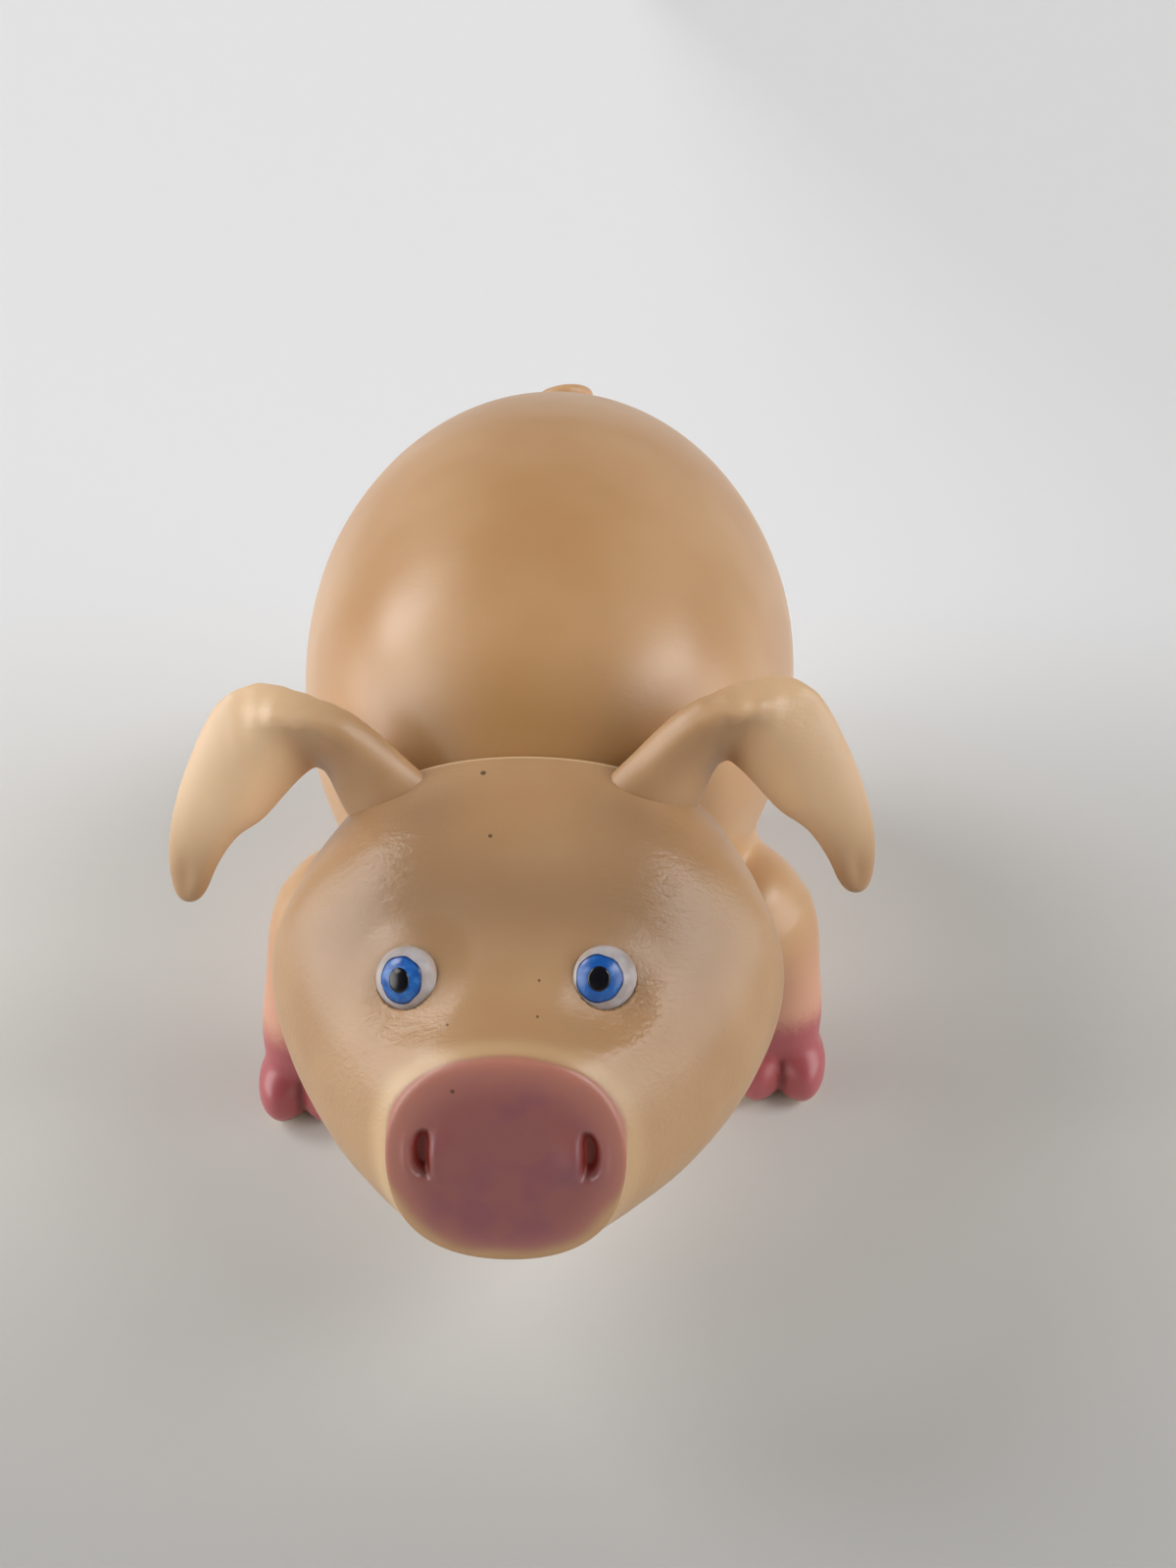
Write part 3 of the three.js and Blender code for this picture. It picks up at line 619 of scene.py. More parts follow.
# The gap between the toes, and a ring where the hoof meets the ankle
at_hoof = np.zeros(len(places), bool)
for foot in feet:
    from_foot = np.abs(places - foot)
    at_hoof |= (from_foot[:, 0] < 5) & (from_foot[:, 1] < 20) & (from_foot[:, 2] < 24)
    round_ankle = np.abs(from_foot[:, 2] - ANKLE_HEIGHT) < 7
    at_hoof |= (np.hypot(*from_foot[:, :2].T) < 26) & round_ankle
soften(body, 10, at_hoof)
soften(body, 3)
print("softened", len(body.verts), "points")

# %% Flat soles, and a neck with its hole
geometry = body.verts[:] + body.edges[:] + body.faces[:]
cut = bmesh.ops.bisect_plane(body, geom=geometry, dist=1e-6, plane_co=(0, 0, 0),
                             plane_no=(0, 0, -1), clear_outer=True)
soles = [e for e in cut["geom_cut"] if isinstance(e, bmesh.types.BMEdge)]
bmesh.ops.triangle_fill(body, edges=soles, use_beauty=True, normal=(0, 0, -1))

neck_y = neck[1] + TURN_GAP
# A front hoof reaches past the neck's face, so only what is above the legs is cut.
ABOVE_LEGS = 45
high = [v for v in body.verts if v.co.z > ABOVE_LEGS * MM]
high += [part for part in (*body.edges, *body.faces)
         if all(v.co.z > ABOVE_LEGS * MM for v in part.verts)]
cut = bmesh.ops.bisect_plane(body, geom=high, dist=1e-6, plane_co=(0, neck_y * MM, 0),
                             plane_no=(0, -1, 0), clear_outer=True)
edge_loop = [e for e in cut["geom_cut"] if isinstance(e, bmesh.types.BMEdge)]
NECK_HOLE = 19
# radius and depth of each ring, from the neck's face into the body
NECK_RECESS = [(NECK_HOLE, 0), (NECK_HOLE, WALL), (NECK_HOLE + 4, WALL + 0.8),
               (NECK_HOLE + 4, 9)]
for radius, depth in NECK_RECESS:
    made = bmesh.ops.extrude_edge_only(body, edges=edge_loop)["geom"]
    edge_loop = [e for e in made if isinstance(e, bmesh.types.BMEdge)]
    for vert in {v for e in edge_loop for v in e.verts}:
        across = vert.co.x / MM - neck[0]
        up = vert.co.z / MM - neck[2]
        scale = radius / math.hypot(across, up)
        vert.co = Vector((neck[0] + across * scale, neck_y + depth, neck[2] + up * scale)) * MM
bmesh.ops.holes_fill(body, edges=edge_loop, sides=0)
bmesh.ops.recalc_face_normals(body, faces=body.faces[:])
print("open edges:", sum(not e.is_manifold for e in body.edges))

# %% [markdown]
# ## Creases and airbrushed hooves
# Paint is stored on the mesh as a value at each point, so it follows the surface. The pink
# starts as a faint dust above the ankle and is full on the hoof. The cut between the toes is
# dark with painted shade, and the pink deepens beside it. The lowest edge was left bare by the
# sprayer. Two more masks give the legs a warm blush, and paint shade on the back down its
# middle and where it tucks in behind the head.

# %% Knee creases and the paint's masks
places = places_of(body)
normals = normals_of(body)
height = places[:, 2]
KNEE_CREASES = [(43.0, 1.0), (47.5, 0.8), (51.5, 0.6)]
relief = np.zeros(len(places))
crease_mask = np.zeros(len(places))
cleft_shade_mask = np.zeros(len(places))
shade_mask = np.zeros(len(places))
for hip, foot in zip(hips, feet):
    out = np.sign(foot[0])
    own = (np.sign(places[:, 0]) == out) & (np.abs(places[:, 1] - foot[1]) < 32) & (height < 62)
    inner = step(4, -8, out * (places[:, 0] - foot[0]))
    for level, strength in KNEE_CREASES:
        wander = 1.2 * np.sin(places[:, 1] * 0.5 + level) + 0.08 * out * (places[:, 0] - foot[0])
        crease = own * inner * bell(height - level - wander, 1.1) * strength
        relief -= 0.35 * crease
        crease_mask = np.maximum(crease_mask, 0.4 * crease)
    toe_gap = np.abs(places[:, 0] - foot[0])
    at_front = step(-5, -9, places[:, 1] - foot[1])
    relief -= 0.7 * own * at_front * bell(toe_gap, 1.3) * step(19, 14, height)
    # Painted shade in the gap between the toes, and the pink deepens beside it
    cleft_shade_mask += 0.5 * own * at_front * step(1.8, 0.4, toe_gap) * step(18.5, 14.5, height)
    shade_mask += own * step(7, 0, toe_gap) * step(24, 12, height)
beside_foot = np.min([np.hypot(*(places - foot)[:, :2].T) for foot in feet], axis=0)
on_leg = step(42, 30, beside_foot)
hoof_mask = on_leg * step(36, 21, height) * step(1.5, 4.5, height)
neck_distance = np.linalg.norm(places - neck, axis=1)
# Painted shade behind the head and down the middle of the back
behind_head = 0.75 * step(70, 42, neck_distance) * step(42, 18, np.abs(places[:, 0]))
down_middle = 0.3 * bell(places[:, 0] + 4, 26)
move(body, places + normals * relief[:, None])
body_masks = {
    "hoof_paint": hoof_mask,
    "blush": 0.8 * on_leg * step(64, 30, height) * step(1.5, 4.5, height),
    "painted_shade": np.maximum(behind_head, down_middle) * step(100, 115, height),
    "cleft_shade": np.minimum(cleft_shade_mask, 1),
    "shade": np.minimum(shade_mask, 1),
    "crease": crease_mask,
}
finished("pig_body", body, "body", ["body_shell"], body_vinyl, body_masks)

# %% [markdown]
# ## The head
# The head is one moulding too: a wide flat back with a thin rim, full cheeks, and a snout
# that ends in a round disc. Rings from the back to the snout describe it: how far forward
# each ring lies, its half width and height, and how far it sinks and tips.
# A subdivision surface over a box would be quicker to draw, but the rings let the eyes, the
# ears and the nostrils find their places on the skin.

# %% The head's rings
HEAD_LENGTH, HEAD_WIDTH, HEAD_HEIGHT = 73, 109, 76
SNOUT_WIDTH, SNOUT_HEIGHT, SNOUT_DROP, SNOUT_TILT = 45, 41, 2.4, 22
FACE_RINGS = [
    # station, forward, width, height, sag, tilt: shares from the back to the snout
    (0.36, 0.18, 0.92, 1.0, 0.2, 0.1),
    (0.47, 0.36, 1.0, 0.94, 0.55, 0.27),
    (0.58, 0.55, 0.83, 0.71, 0.9, 0.45),
    (0.69, 0.74, 0.53, 0.4, 1.0, 0.68),
    (0.78, 0.88, 0.23, 0.14, 0.8, 0.86),
]


def along_head(back, column, snout):
    """A curve along the head through its rim, one column of the rings, and its snout."""
    stops = [*zip((0, 0.16, 0.2, 0.24), back)]
    stops += [(ring[0], column(ring)) for ring in FACE_RINGS]
    return smooth(*stops, *zip((0.86, 0.9, 1), snout))


def half_size(rim, largest, smallest, column):
    back = (0, rim - 3, rim - 0.9, rim)
    snout = (smallest, smallest - 2, 0)
    return along_head(back, lambda r: smallest + (largest - smallest) * r[column], snout)


forward = along_head((0, 0, 0.9, 3), lambda r: r[1] * HEAD_LENGTH, (71, 73, 74))
half_width = half_size(47, HEAD_WIDTH / 2, SNOUT_WIDTH / 2, 2)
half_height = half_size(37.5, HEAD_HEIGHT / 2, SNOUT_HEIGHT / 2, 3)
rise = along_head((1.5,) * 4, lambda r: -5.5 * r[4], (-SNOUT_DROP,) * 3)
tilt = along_head((0,) * 4, lambda r: r[5] * SNOUT_TILT, (SNOUT_TILT,) * 3)
corner = smooth((0, 0), (0.16, 0.035), (0.5, 0.035), (0.86, 0.05), (1, 0.05))
print("half width at the cheeks:", round(float(half_width(0.47)), 1), "mm")

# %% A place on the head's skin
EYE_STATION, EYE_SPACING, EYE_SHIFT = 0.685, 36.8, -1.8
# station, spacing, height, spread of the brows, the cheeks and the eye sockets
FACE_LUMPS = [(0.5, 52, 2.5, 11), (0.72, 44, 2, 10), (EYE_STATION - 0.02, EYE_SPACING, -2, 11)]
# The snout sits a little to the pig's right of the head's middle.
SNOUT_SHIFT = -1.0


def head_place(station, angle):
    cosine, sine = -np.cos(angle), np.sin(angle)
    swell = 1 + corner(station) * (2 * cosine * sine) ** 2
    across = cosine * half_width(station) * swell
    up = sine * half_height(station) * swell
    for at, spacing, height, spread in FACE_LUMPS:
        reach = np.hypot((station - at) * 120, np.abs(across) - spacing / 2)
        lump = height * bell(reach, spread) * np.maximum(0, sine)
        up = up + lump * sine
        across = across + lump * cosine / 2
    across = across + SNOUT_SHIFT * step(0.6, 0.86, station)
    tip = np.radians(tilt(station))
    return neck + np.stack(
        [across, up * np.sin(tip) - forward(station), rise(station) + up * np.cos(tip)], -1
    )


def angle_at(station, sideways):
    return np.arccos(-sideways / half_width(station))


# The fine skin has more rings on the snout than on the back.
station_of = smooth((0, 0), (0.1, 0.2), (0.17, 0.26), (0.73, 0.86), (1, 1))
print("the nose's middle is at", head_place(np.array(1.0), np.array(0.0)).round(1), "mm")

# %% [markdown]
# ## Where the eyes and the nostrils go
# A doll's eye is pushed into a shallow pocket, and a nostril is pressed into the disc with a
# ridge of flesh beside it. Each has a small frame of its own on the skin: its Z axis looks
# out, and sizes inside it are plain millimetres.

# %% Small frames on the skin
SIDES = {"left": 1, "right": -1}


def facing(at, direction):
    """A frame at a place in mm with its Z axis along a direction."""
    turn = Vector((0, 0, 1)).rotation_difference(Vector(direction))
    return Matrix.Translation(Vector(at)) @ turn.to_matrix().to_4x4()


def inside(frame, places):
    """Places in mm as seen from a frame."""
    inverse = np.array(frame.inverted())
    return places @ inverse[:3, :3].T + inverse[:3, 3]


def outside_of(frame, local):
    matrix = np.array(frame)
    return local @ matrix[:3, :3].T + matrix[:3, 3]


EYE_OUT, EYE_UP = 18, 38  # degrees that an eye looks outwards and up


def eye_frame(side):
    angle = angle_at(EYE_STATION, EYE_SHIFT + side * EYE_SPACING / 2)
    out, up = math.radians(EYE_OUT * side), math.radians(EYE_UP)
    axis = (math.sin(out) * math.cos(up), -math.cos(out) * math.cos(up), math.sin(up))
    return facing(head_place(np.array(EYE_STATION), angle), axis)


snout_frame = Matrix.Translation(Vector(neck + (SNOUT_SHIFT, -HEAD_LENGTH, -SNOUT_DROP)))
snout_frame @= Matrix.Rotation(math.radians(90 - SNOUT_TILT), 4, "X")
eye_frames = {name: eye_frame(side) for name, side in SIDES.items()}
print("eyes at", [tuple(round(c, 1) for c in f.translation) for f in eye_frames.values()])

# %% The fine skin of the head
EYE_RADIUS, EYE_DOME = 6.2, 3.4
NOSTRIL_SPACING, NOSTRIL_RISE = 30, 2
nostril_middles = {
    name: outside_of(snout_frame, np.array([side * NOSTRIL_SPACING / 2, NOSTRIL_RISE, 0]))
    for name, side in SIDES.items()
}
finer = [(near(np.array(f.translation), 8.5), 1) for f in eye_frames.values()]
finer += [(near(at, 7.5), 1) for at in nostril_middles.values()]
head = bmesh.new()
share, angle = add_skin(head, 220, 300, lambda s, a: head_place(station_of(s), a), finer)
station = station_of(share)
places = places_of(head)
normals = normals_of(head)
print("head skin", len(places), "points")

# %% Press in the nostrils, the eye pockets and the rim's lip
NOSTRIL_DEPTH, SLOT_INNER, SLOT_OUTER, SLOT_HALF_HEIGHT = 2.3, 1.5, 2.0, 4.5
SQUARENESS = 2.6  # 2 would make the slot an oval
relief = np.zeros(len(places))
nostril_mask = np.zeros(len(places))
on_disc = inside(snout_frame, places)
at_disc = (np.abs(on_disc[:, 2]) < 6).astype(float)
for name, side in SIDES.items():
    out = side * (on_disc[:, 0] - side * NOSTRIL_SPACING / 2)
    up = on_disc[:, 1] - NOSTRIL_RISE
    bent = out + 0.7 * (up / 5) ** 2 - 0.2
    half = np.where(bent < 0, SLOT_INNER, SLOT_OUTER)
    slot = (np.abs(bent / half) ** SQUARENESS
            + np.abs(up / SLOT_HALF_HEIGHT) ** SQUARENESS) ** (1 / SQUARENESS)
    relief -= at_disc * NOSTRIL_DEPTH * step(1.25, 0.55, slot)
    # A ridge on the inner side, steep towards the slot, and a low lip on the outer side
    ridge = bent + 2.7
    relief += at_disc * 1.3 * bell(ridge, np.where(ridge > 0, 1.3, 3.2)) * bell(up + 0.3, 4.2)
    relief += at_disc * 0.45 * bell(bent - 2.9, 0.8) * bell(up + 0.6, 3.6)
    nostril_mask = np.maximum(nostril_mask, at_disc * step(1.0, 0.7, slot))

behind_edge = forward(station)
at_rim = (station > 0.17) * (station < 0.3)
relief -= at_rim * 0.28 * bell(behind_edge - 2.0, 0.35)
relief += at_rim * 0.12 * bell(behind_edge - 1.2, 0.5)
# Two soft bumps between the eyes, over the bridge of the snout
for side in SIDES.values():
    reach = np.hypot((station - 0.71) * 120, places[:, 0] - neck[0] - side * 7.5)
    relief += 0.5 * bell(reach, 4.5) * (np.sin(angle) > 0)
places = places + normals * relief[:, None]

# Round each eye the skin is half flattened, and under it pressed in
POCKET_DEPTH = 2.5
for eye in eye_frames.values():
    local = inside(eye, places)
    radius = np.hypot(local[:, 0], local[:, 1])
    here = np.abs(local[:, 2]) < 9
    local[:, 2] -= here * 0.5 * local[:, 2] * step(EYE_RADIUS + 7, EYE_RADIUS - 1, radius)
    under = here & (radius < EYE_RADIUS - 0.5)
    local[under, 2] = np.minimum(local[under, 2], -POCKET_DEPTH)
    places = outside_of(eye, local)
move(head, places)
print("deepest point of a nostril:", round(float(-relief.min()), 1), "mm")

# %% Masks of the head's paint and wrinkles
# The paint's edge wavers, and it starts further forward on top and most of all underneath.
uneven = 0.0015 * np.sin(5 * angle) + 0.001 * np.sin(11 * angle + 2)
bare = 0.862 + 0.01 * step(0.5, 0.95, np.sin(angle)) + 0.044 * step(0.5, -0.7, np.sin(angle))
snout_mask = step(-0.008, 0.01, station + uneven - bare)
paint_edge = snout_mask * step(0.94, 0.88, station)
left_and_low = step(-0.6, 0.6, -(on_disc[:, 0] + on_disc[:, 1]) / 25)
halo_mask = bell(station - 0.85, 0.025) * (0.45 + 0.55 * left_and_low)
wrinkled = np.zeros(len(places))
across = places[:, 0] - neck[0]
for at, spacing, _, spread in FACE_LUMPS[:2]:
    reach = np.hypot((station - at) * 120, np.abs(across) - spacing / 2)
    wrinkled = np.maximum(wrinkled, bell(reach, spread * 0.9) * (np.sin(angle) > 0))
shaded = 0.85 * bell(station - 0.58, 0.1)
shaded += 0.7 * bell(np.hypot((station - 0.4) * 120, np.abs(across) - 22), 10)
# Painted highlight: the thin lip of the rim is painted cream
lip_highlight = at_rim * step(2.2, 1.6, behind_edge)
head_masks = {
    "snout": snout_mask,
    "paint_edge": paint_edge,
    "halo_and_lip_highlight": np.maximum(halo_mask * 0.7, lip_highlight),
    "nostril": nostril_mask,
    "wrinkled": wrinkled,
    "shaded": np.minimum(shaded, 1) * step(0.35, 0.9, np.sin(angle)),
}
finished("pig_head", head, "head", ["head_shell"], head_vinyl, head_masks)

# %% [markdown]
# ## Turned pieces
# The neck's plug and the eyes are round, so a profile is drawn once and spun about its axis.
# The plug is a tube that passes through the body's wall, with a lip that snaps in behind it.
# The lip lets the head turn and keeps it from falling off.

# %% Spin a profile


def turned(profile, steps, frame):
    """A closed profile of (radius, height) in mm spun once about the Z axis of a frame."""
    bm = bmesh.new()
    verts = [bm.verts.new((radius, 0, height)) for radius, height in profile]
    edges = [bm.edges.new(pair) for pair in zip(verts, verts[1:])]
    bmesh.ops.spin(bm, geom=verts + edges, cent=(0, 0, 0), axis=(0, 0, 1),
                   angle=2 * math.pi, steps=steps, use_merge=True)
    bmesh.ops.remove_doubles(bm, verts=bm.verts[:], dist=1e-4)
    bmesh.ops.recalc_face_normals(bm, faces=bm.faces[:])
    bm.transform(Matrix.Scale(MM, 4) @ frame)
    return bm


backwards = facing(neck, (0, 1, 0))
tube, bore = NECK_HOLE - TURN_GAP, NECK_HOLE - TURN_GAP - WALL
throat, lip = WALL + 2 * TURN_GAP, 2.4
plug_profile = [
    (bore, -WALL), (tube, -WALL), (tube, throat), (NECK_HOLE + lip - 0.4, throat),
    (NECK_HOLE + lip, throat + 0.4), (tube, throat + 3), (bore, throat + 3), (bore, -WALL),
]
plug = turned(plug_profile, 72, backwards)
finished("neck_plug", plug, "head", [], head_vinyl)

# %% The eyes' profiles
IRIS_RADIUS, IRIS_DEPTH, PUPIL_RADIUS = 4.6, 0.8, 2.2
BALL = (EYE_RADIUS**2 + EYE_DOME**2) / (2 * EYE_DOME)
BALL_MIDDLE = EYE_DOME - BALL


def dome(above, radii):
    """Points of the eye's ball, or of one a little larger, at some radii."""
    return [(r, BALL_MIDDLE + math.sqrt((BALL + above) ** 2 - r * r)) for r in radii]


def falling(radius, count):
    return [radius * (1 - i / count) for i in range(count + 1)]


def narrowed(local, across, up):
    """Narrows a disc on the eye's ball, and keeps each point as far from the ball's middle."""
    from_middle = local - (0, 0, BALL_MIDDLE)
    reach = np.linalg.norm(from_middle, axis=1, keepdims=True)
    return unit(from_middle * (across, up, 1)) * reach + (0, 0, BALL_MIDDLE)


def disc_profile(radius, depth, proud, edge):
    """A disc that follows the dome, with a rounded edge."""
    bottom = dome(-depth, reversed(falling(radius, 4)))
    side = dome(proud - edge, [radius])
    return [*bottom, *side, *dome(proud - edge * 0.3, [radius - edge * 0.3]),
            *dome(proud, falling(radius - edge, 12))]


WHITE_PROFILE = [
    (0, -7.5), (1.7, -7.5), (3.5, -4.5), (2.6, -4.5), (2.6, -1.7), (EYE_RADIUS - 0.3, -1.7),
    (EYE_RADIUS, -1.4), *dome(0, falling(EYE_RADIUS, 24)),
]
print("the eye's ball is", round(2 * BALL, 1), "mm across")

# %% Set the eyes in
GAZE = {"left": -16, "right": 0}
# The iris on the pig's right is narrower than it is tall, and both pupils are a little tall.
IRIS_NARROW = {"left": 0.98, "right": 0.88}
CAP_NARROW = {"left": 1, "right": 0.95}
for name, eye in eye_frames.items():
    aim = (Matrix.Translation((0, 0, BALL_MIDDLE))
           @ Matrix.Rotation(math.radians(GAZE[name]), 4, "Y")
           @ Matrix.Translation((0, 0, -BALL_MIDDLE)))
    gaze = eye @ aim
    white = turned(WHITE_PROFILE, 72, eye)
    local = inside(eye, places_of(white))
    radius = np.hypot(local[:, 0], local[:, 1])
    move(white, outside_of(eye, narrowed(local, CAP_NARROW[name], 1)))
    # Painted shade in a ring where the cap meets the skin
    seat_shade_mask = {"seat_shade": step(EYE_RADIUS - 0.5, EYE_RADIUS, radius) * 0.8}
    finished(f"{name}_cap", white, "head", [f"{name}_eye_white"], eye_white,
             seat_shade_mask)

    iris = turned(disc_profile(IRIS_RADIUS, IRIS_DEPTH, 0.06, 0.2), 72, gaze)
    local = inside(gaze, places_of(iris))
    radius = np.hypot(local[:, 0], local[:, 1])
    turn = np.arctan2(local[:, 1], local[:, 0])
    uneven = 1 + 0.012 * np.sin(3 * turn + 1) + 0.008 * np.sin(7 * turn + SIDES[name])
    local[:, :2] *= uneven[:, None]
    move(iris, outside_of(gaze, narrowed(local, IRIS_NARROW[name], 1)))
    iris_masks = {"rim": radius / IRIS_RADIUS}
    finished(f"{name}_blue", iris, "head", [f"{name}_iris"], iris_blue,
             iris_masks)

    pupil = turned(disc_profile(PUPIL_RADIUS, IRIS_DEPTH, 0.2, 0.25), 48, gaze)
    local = inside(gaze, places_of(pupil))
    move(pupil, outside_of(gaze, narrowed(local, (1 + IRIS_NARROW[name]) / 2, 1.1)))
    finished(f"{name}_black", pupil, "head", [f"{name}_pupil"],
             pupil_black)

# %% [markdown]
# ## The ears
# Each ear is a thick flap of vinyl that rises from the head, turns over at an elbow and hangs
# down. A crease runs along it, and the vinyl falls back on both sides of the crease.
# We could bend a flat sheet with modifiers. Giving the two edges of the flap ring by ring is
# easier to match to the real ear, because the edges are what the eye sees.

# %% The two edges of a flap and its fold
EAR_STATION, EAR_SPACING, EAR_SHIFT, EAR_LEAN = 0.27, 60, -1.9, -15
EAR_REACH, EAR_RISE, EAR_THICKNESS, EAR_FOLD, EAR_FOLD_SHARE = 45, 24.3, 7, 8, 0.14
EAR_RINGS = [
    # station, outer edge out and up, inner edge out and up, fold: 1 outer edge, -1 inner edge
    (0, -0.33, 0.07, 0.1, -0.33, 0.6),
    (0.12, -0.2, 0.29, 0.19, -0.04, 0.6),
    (0.3, 0.07, 0.75, 0.26, 0.08, 0.62),
    (0.42, 0.31, 0.94, 0.32, 0.14, 0.57),
    (0.52, 0.53, 1, 0.37, 0.1, 0.11),
    (0.6, 0.69, 0.84, 0.44, -0.03, -0.17),
    (0.7, 0.83, 0.39, 0.54, -0.23, -0.45),
    (0.8, 0.93, -0.06, 0.67, -0.4, -0.7),
    (0.9, 0.99, -0.5, 0.77, -0.67, -0.95),
    (1, 1, -0.98, 0.84, -1, -1),
]
outer_out, outer_up, inner_out, inner_up, fold_line = (
    smooth(*[(ring[0], ring[column]) for ring in EAR_RINGS]) for column in range(1, 6)
)
ear_thickness = smooth((0, 1.3), (0.3, 1.1), (0.6, 1), (1, 0.9))
outer_fall = smooth((0, 1), (0.42, 1), (0.6, 0.2), (1, 0.1))
print("the elbow is", EAR_REACH * float(outer_out(0.52)), "mm out from the root")

# %% The flap's formula


def pleat(past):
    """A slope that starts softly at the fold."""
    return EAR_FOLD_SHARE * np.logaddexp(0, past / EAR_FOLD_SHARE)


def flap_reading(side, share, angle):
    """How far along the flap a point is, how far across it, and how round its end is."""
    along = (1 - np.cos(np.pi * share)) / 2
    round_end = np.sqrt(np.maximum(0, 1 - np.abs(2 * along - 1) ** 24))
    return along, -side * np.cos(angle) * round_end, round_end


def flap(side, turn):
    """A place formula for one ear."""
    root_angle = angle_at(EAR_STATION, EAR_SHIFT + side * EAR_SPACING / 2)
    root = head_place(np.array(EAR_STATION), root_angle)
    stance = (Matrix.Rotation(math.radians(-side * turn), 3, "Z")
              @ Matrix.Rotation(math.radians(EAR_LEAN), 3, "X"))

    def place(share, angle):
        along, edge, round_end = flap_reading(side, share, angle)
        to_outer = (1 + edge) / 2
        out = EAR_REACH * (inner_out(along) * (1 - to_outer) + outer_out(along) * to_outer)
        up = EAR_RISE * (inner_up(along) * (1 - to_outer) + outer_up(along) * to_outer)
        past = fold_line(along) - edge
        fall = pleat(past) + outer_fall(along) * pleat(-past)
        crest = EAR_FOLD * (0.5 - fall) * np.minimum(1, 3 * along)
        half = ear_thickness(along) * EAR_THICKNESS / 2 * round_end
        local = np.stack([side * out, -np.sin(angle) * half - crest, up], -1)
        return root + local @ np.array(stance).T

    return place


print("a pleat is", round(float(pleat(0.0)), 3), "deep at its fold")

# %% Two ears, with a peak at the elbow and a dimple in the tip
EAR_TURNS = {"left": -6, "right": -1}
# The flaps are paler from the elbow to near the tip: partly paler vinyl, partly painted light, and
# how much each ear gets is painted light
PALE_AND_LIT_SHARE = {"left": 0.6, "right": 1}
for name, turn in EAR_TURNS.items():
    side = SIDES[name]
    ear = bmesh.new()
    share, angle = add_skin(ear, 140, 96, flap(side, turn))
    along, edge, _ = flap_reading(side, share, angle)
    front = step(-0.2, 0.5, np.sin(angle))
    elbow = bell(along - 0.46, 0.13) * step(-0.3, 0.5, edge)
    peak = bell(along - 0.47, 0.06) * bell(edge - 0.5, 0.25)
    dimple = bell(along - 0.93, 0.045) * bell(edge, 0.45)
    creases = np.sin(along * 120 + 4 * edge + side) + 0.6 * np.sin(along * 71 - 9 * edge)
    relief = front * (1.5 * peak - 0.7 * dimple) + 0.11 * elbow * creases
    move(ear, places_of(ear) + normals_of(ear) * relief[:, None])
    finished(f"{name}_flap", ear, "head", [f"{name}_ear"], ear_vinyl,
             {"wrinkled": np.clip(elbow * 1.3, 0, 1),
              "pale_and_lit": PALE_AND_LIT_SHARE[name] * step(0.3, 0.55, along) * step(0.98, 0.72, along)})

# %% [markdown]
# ## The tail
# The tail is one curl of tapering vinyl on a plug in the rump. Its path is a helix that
# opens from the root, and the skin is the same tube that the legs use.

# %% The curl
TAIL_ANGLE, TAIL_RADIUS = math.radians(39.4), 3.4
TAIL_CURL, TAIL_CURL_HEIGHT, TAIL_TURNS, CURL_POINTS = 8, 11.5, 1.35, 12
back, up = math.cos(TAIL_ANGLE), math.sin(TAIL_ANGLE)
tail_root = middle + (0, HALF[1] * back, HALF[2] * up)
tail_frame = facing(tail_root, Vector((0, back / BODY_LENGTH, up / BODY_HEIGHT)).normalized())
curl = []
for i in range(CURL_POINTS + 1):
    part = i / CURL_POINTS
    turn = part * TAIL_TURNS * 2 * math.pi
    spread = TAIL_CURL * min(1, 4 * part)
    climb = part * TAIL_TURNS * TAIL_CURL_HEIGHT - TAIL_RADIUS
    curl.append((math.sin(turn) * spread, (0.6 - math.cos(turn)) * spread, climb))
tail_path = Route(outside_of(tail_frame, np.array(curl)))
tail_radius = smooth((0, TAIL_RADIUS), (0.6, 2.76), (1, 1.8))
tail = bmesh.new()
add_skin(tail, 110, 28, limb(tail_path, tail_radius))
finished("curly_tail", tail, "body", ["tail"], tail_vinyl)
print("the tail's vinyl is", round(tail_path.length), "mm long")

# %% [markdown]
# ## Floor, light and camera
# The pig stands on a pale matt sheet between two windows. Each window is a bright patch of
# the room with two wide suns in front of it, and they give the highlights on the two sides
# of the back and leave its middle darker. A pale wall behind the pig lifts the far edge, and
# the photographer darkens the near side; the sheet's own colour adds painted light and shade
# to both. Area lamps would do for the highlights, but their light fades along the sheet, and
# a sun's does not.
# The camera stands just in front of the snout and looks down at it.

# %% Colours of the sheet
# The sheet has more light than the pig does, so it glows faintly here: painted light, most in
# the middle round the pig and none near the camera. Its colour carries painted light and shade
# too: paler far away, darker near the camera and darker to the right. Each pair goes from the
# middle or from the left to the right.
SHEET_NEAR_SHADED = (0.46, 0.46, 0.45, 1)
SHEET_MIDDLE = (0.69, 0.69, 0.67, 1), (0.6, 0.6, 0.585, 1)
SHEET_FAR = (0.76, 0.765, 0.775, 1), (0.65, 0.655, 0.665, 1)
GLOW_MIDDLE = (0.08, 0.08, 0.078, 1), (0.03, 0.03, 0.03, 1)
GLOW_FAR, NO_GLOW = (0.06, 0.06, 0.065, 1), (0, 0, 0, 1)
print("the sheet reflects", SHEET_NEAR_SHADED[0], "near and", SHEET_FAR[0][0], "far away")

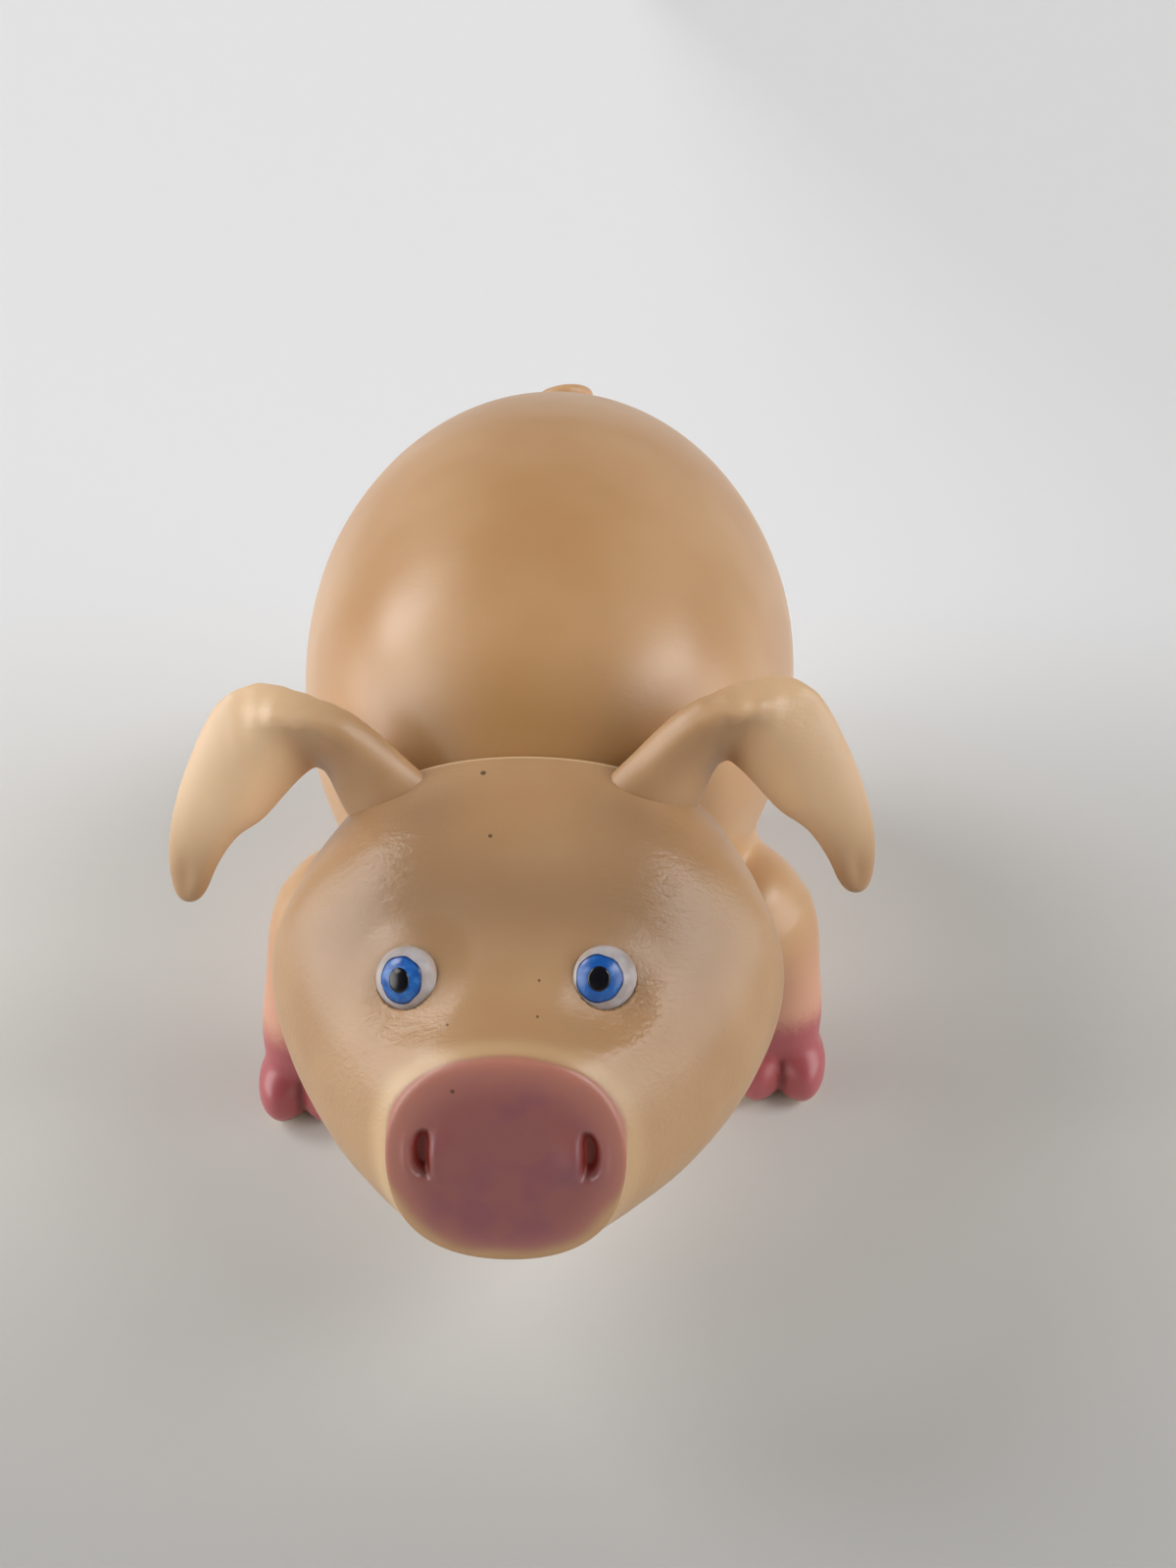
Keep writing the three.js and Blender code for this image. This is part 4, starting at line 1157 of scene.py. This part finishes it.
# %% The sheet it stands on
sheet_grey, shader, _, place = material("pale_sheet", Roughness=0.75, IOR=1.25,
                                            Emission_Strength=1)
across = place.node("ShaderNodeSeparateXYZ", {"Vector": place}, out="X")
back = place.node("ShaderNodeSeparateXYZ", {"Vector": place}, out="Y")
far = back.above(0.02, 0.3)
in_front = (0 - back).above(0.05, 0.17)
in_shade = (0 - back).above(-0.02, 0.05)
to_right = across.above(0.05, 0.25)
# Painted light and shade: the sheet is paler far away and darker to the right
paper = far.mixed(to_right.mixed(*SHEET_MIDDLE), across.above(0, 0.5).mixed(*SHEET_FAR))
feed(
    shader,
    # Painted shade near the camera, and a faint painted glow round the pig
    Base_Color=in_front.mixed(paper, SHEET_NEAR_SHADED),
    Emission_Color=in_shade.mixed(far.mixed(to_right.mixed(*GLOW_MIDDLE), GLOW_FAR), NO_GLOW),
    Normal=bumped(noise(place, 60, 3.0), 0.2, 0.1),
)
SHEET_REACH = 30  # metres, so that its far edge is a level horizon
grid = bmesh.new()
bmesh.ops.create_grid(grid, x_segments=4, y_segments=4, size=SHEET_REACH)
mesh = bpy.data.meshes.new("sheet")
grid.to_mesh(mesh)
grid.free()
mesh.materials.append(sheet_grey)
sheet = bpy.data.objects.new("sheet", mesh)
bpy.context.scene.collection.objects.link(sheet)
print("the sheet reaches", SHEET_REACH, "m each way")

# %% A room with a bright window at each side
WINDOWS = [(106, 10, 2.9), (-104, 10, 3.9)]  # azimuth, elevation, brightness: left, right
PHOTOGRAPHER = (180, 35)
BACK_WALL = (0, 12)


def direction(azimuth, elevation):
    """Azimuths go from the pig's back towards the pig's left, in degrees."""
    around, up = math.radians(azimuth), math.radians(elevation)
    return Vector((math.sin(around) * math.cos(up), math.cos(around) * math.cos(up), math.sin(up)))


world = bpy.data.worlds.new("pale_room")
bpy.context.scene.world = world
world.use_nodes = True
start = Wire(world.node_tree, None)
look = start.node("ShaderNodeTexCoord", out="Generated")
height = look.node("ShaderNodeSeparateXYZ", {"Vector": look}, out="Z")


def towards(azimuth, elevation):
    """1 in a direction of the room, 0 square to it and -1 behind."""
    inputs = {0: look, 1: direction(azimuth, elevation)}
    return look.node("ShaderNodeVectorMath", inputs, out="Value", operation="DOT_PRODUCT")


glow = 0.03 + 0.27 * (1 - height.above(0.1, 0.5)) + 0.35 * towards(*BACK_WALL).above(0.6, 0.95)
glow = glow * (1 - 0.75 * towards(*PHOTOGRAPHER).above(0.45, 0.9))
for azimuth, elevation, brightness in WINDOWS:
    glow = glow + brightness * towards(azimuth, elevation).above(0.78, 0.97)
background = world.node_tree.nodes["Background"]
background.inputs["Color"].default_value = (1, 0.99, 0.975, 1)
world.node_tree.links.new(glow.socket, background.inputs["Strength"])
bpy.context.scene.view_settings.view_transform = "Standard"
print("the room's nodes:", len(world.node_tree.nodes))

# %% Four wide suns for the highlights
WARM, NEUTRAL = (1, 0.98, 0.96), (1, 0.99, 0.98)
SUNS = {
    # azimuth, elevation, how wide it is, strength, colour
    "left_light": (92, 44, 22, 0.65, WARM),
    "left_lamp": (113, 50, 18, 0.4, WARM),
    "right_light": (-74, 43, 22, 0.95, NEUTRAL),
    "right_lamp": (-112, 46, 18, 0.3, NEUTRAL),
}
for name, (azimuth, elevation, spread, strength, colour) in SUNS.items():
    light = bpy.data.lights.new(name, "SUN")
    light.angle = math.radians(spread)
    light.energy = strength
    light.color = colour
    sun = bpy.data.objects.new(name, light)
    sun.rotation_euler = direction(azimuth, elevation).to_track_quat("Z", "Y").to_euler()
    bpy.context.scene.collection.objects.link(sun)

# %% The camera of the photograph
lens = bpy.data.cameras.new("camera")
lens.lens = 36
lens.sensor_width = 36
lens.sensor_fit = "HORIZONTAL"
lens.clip_start = 0.01
camera = bpy.data.objects.new("camera", lens)
camera.location = (0.0170, -0.26464, 0.262)
camera.rotation_euler = (math.radians(55), 0, math.radians(1.3))
bpy.context.scene.collection.objects.link(camera)
bpy.context.scene.camera = camera
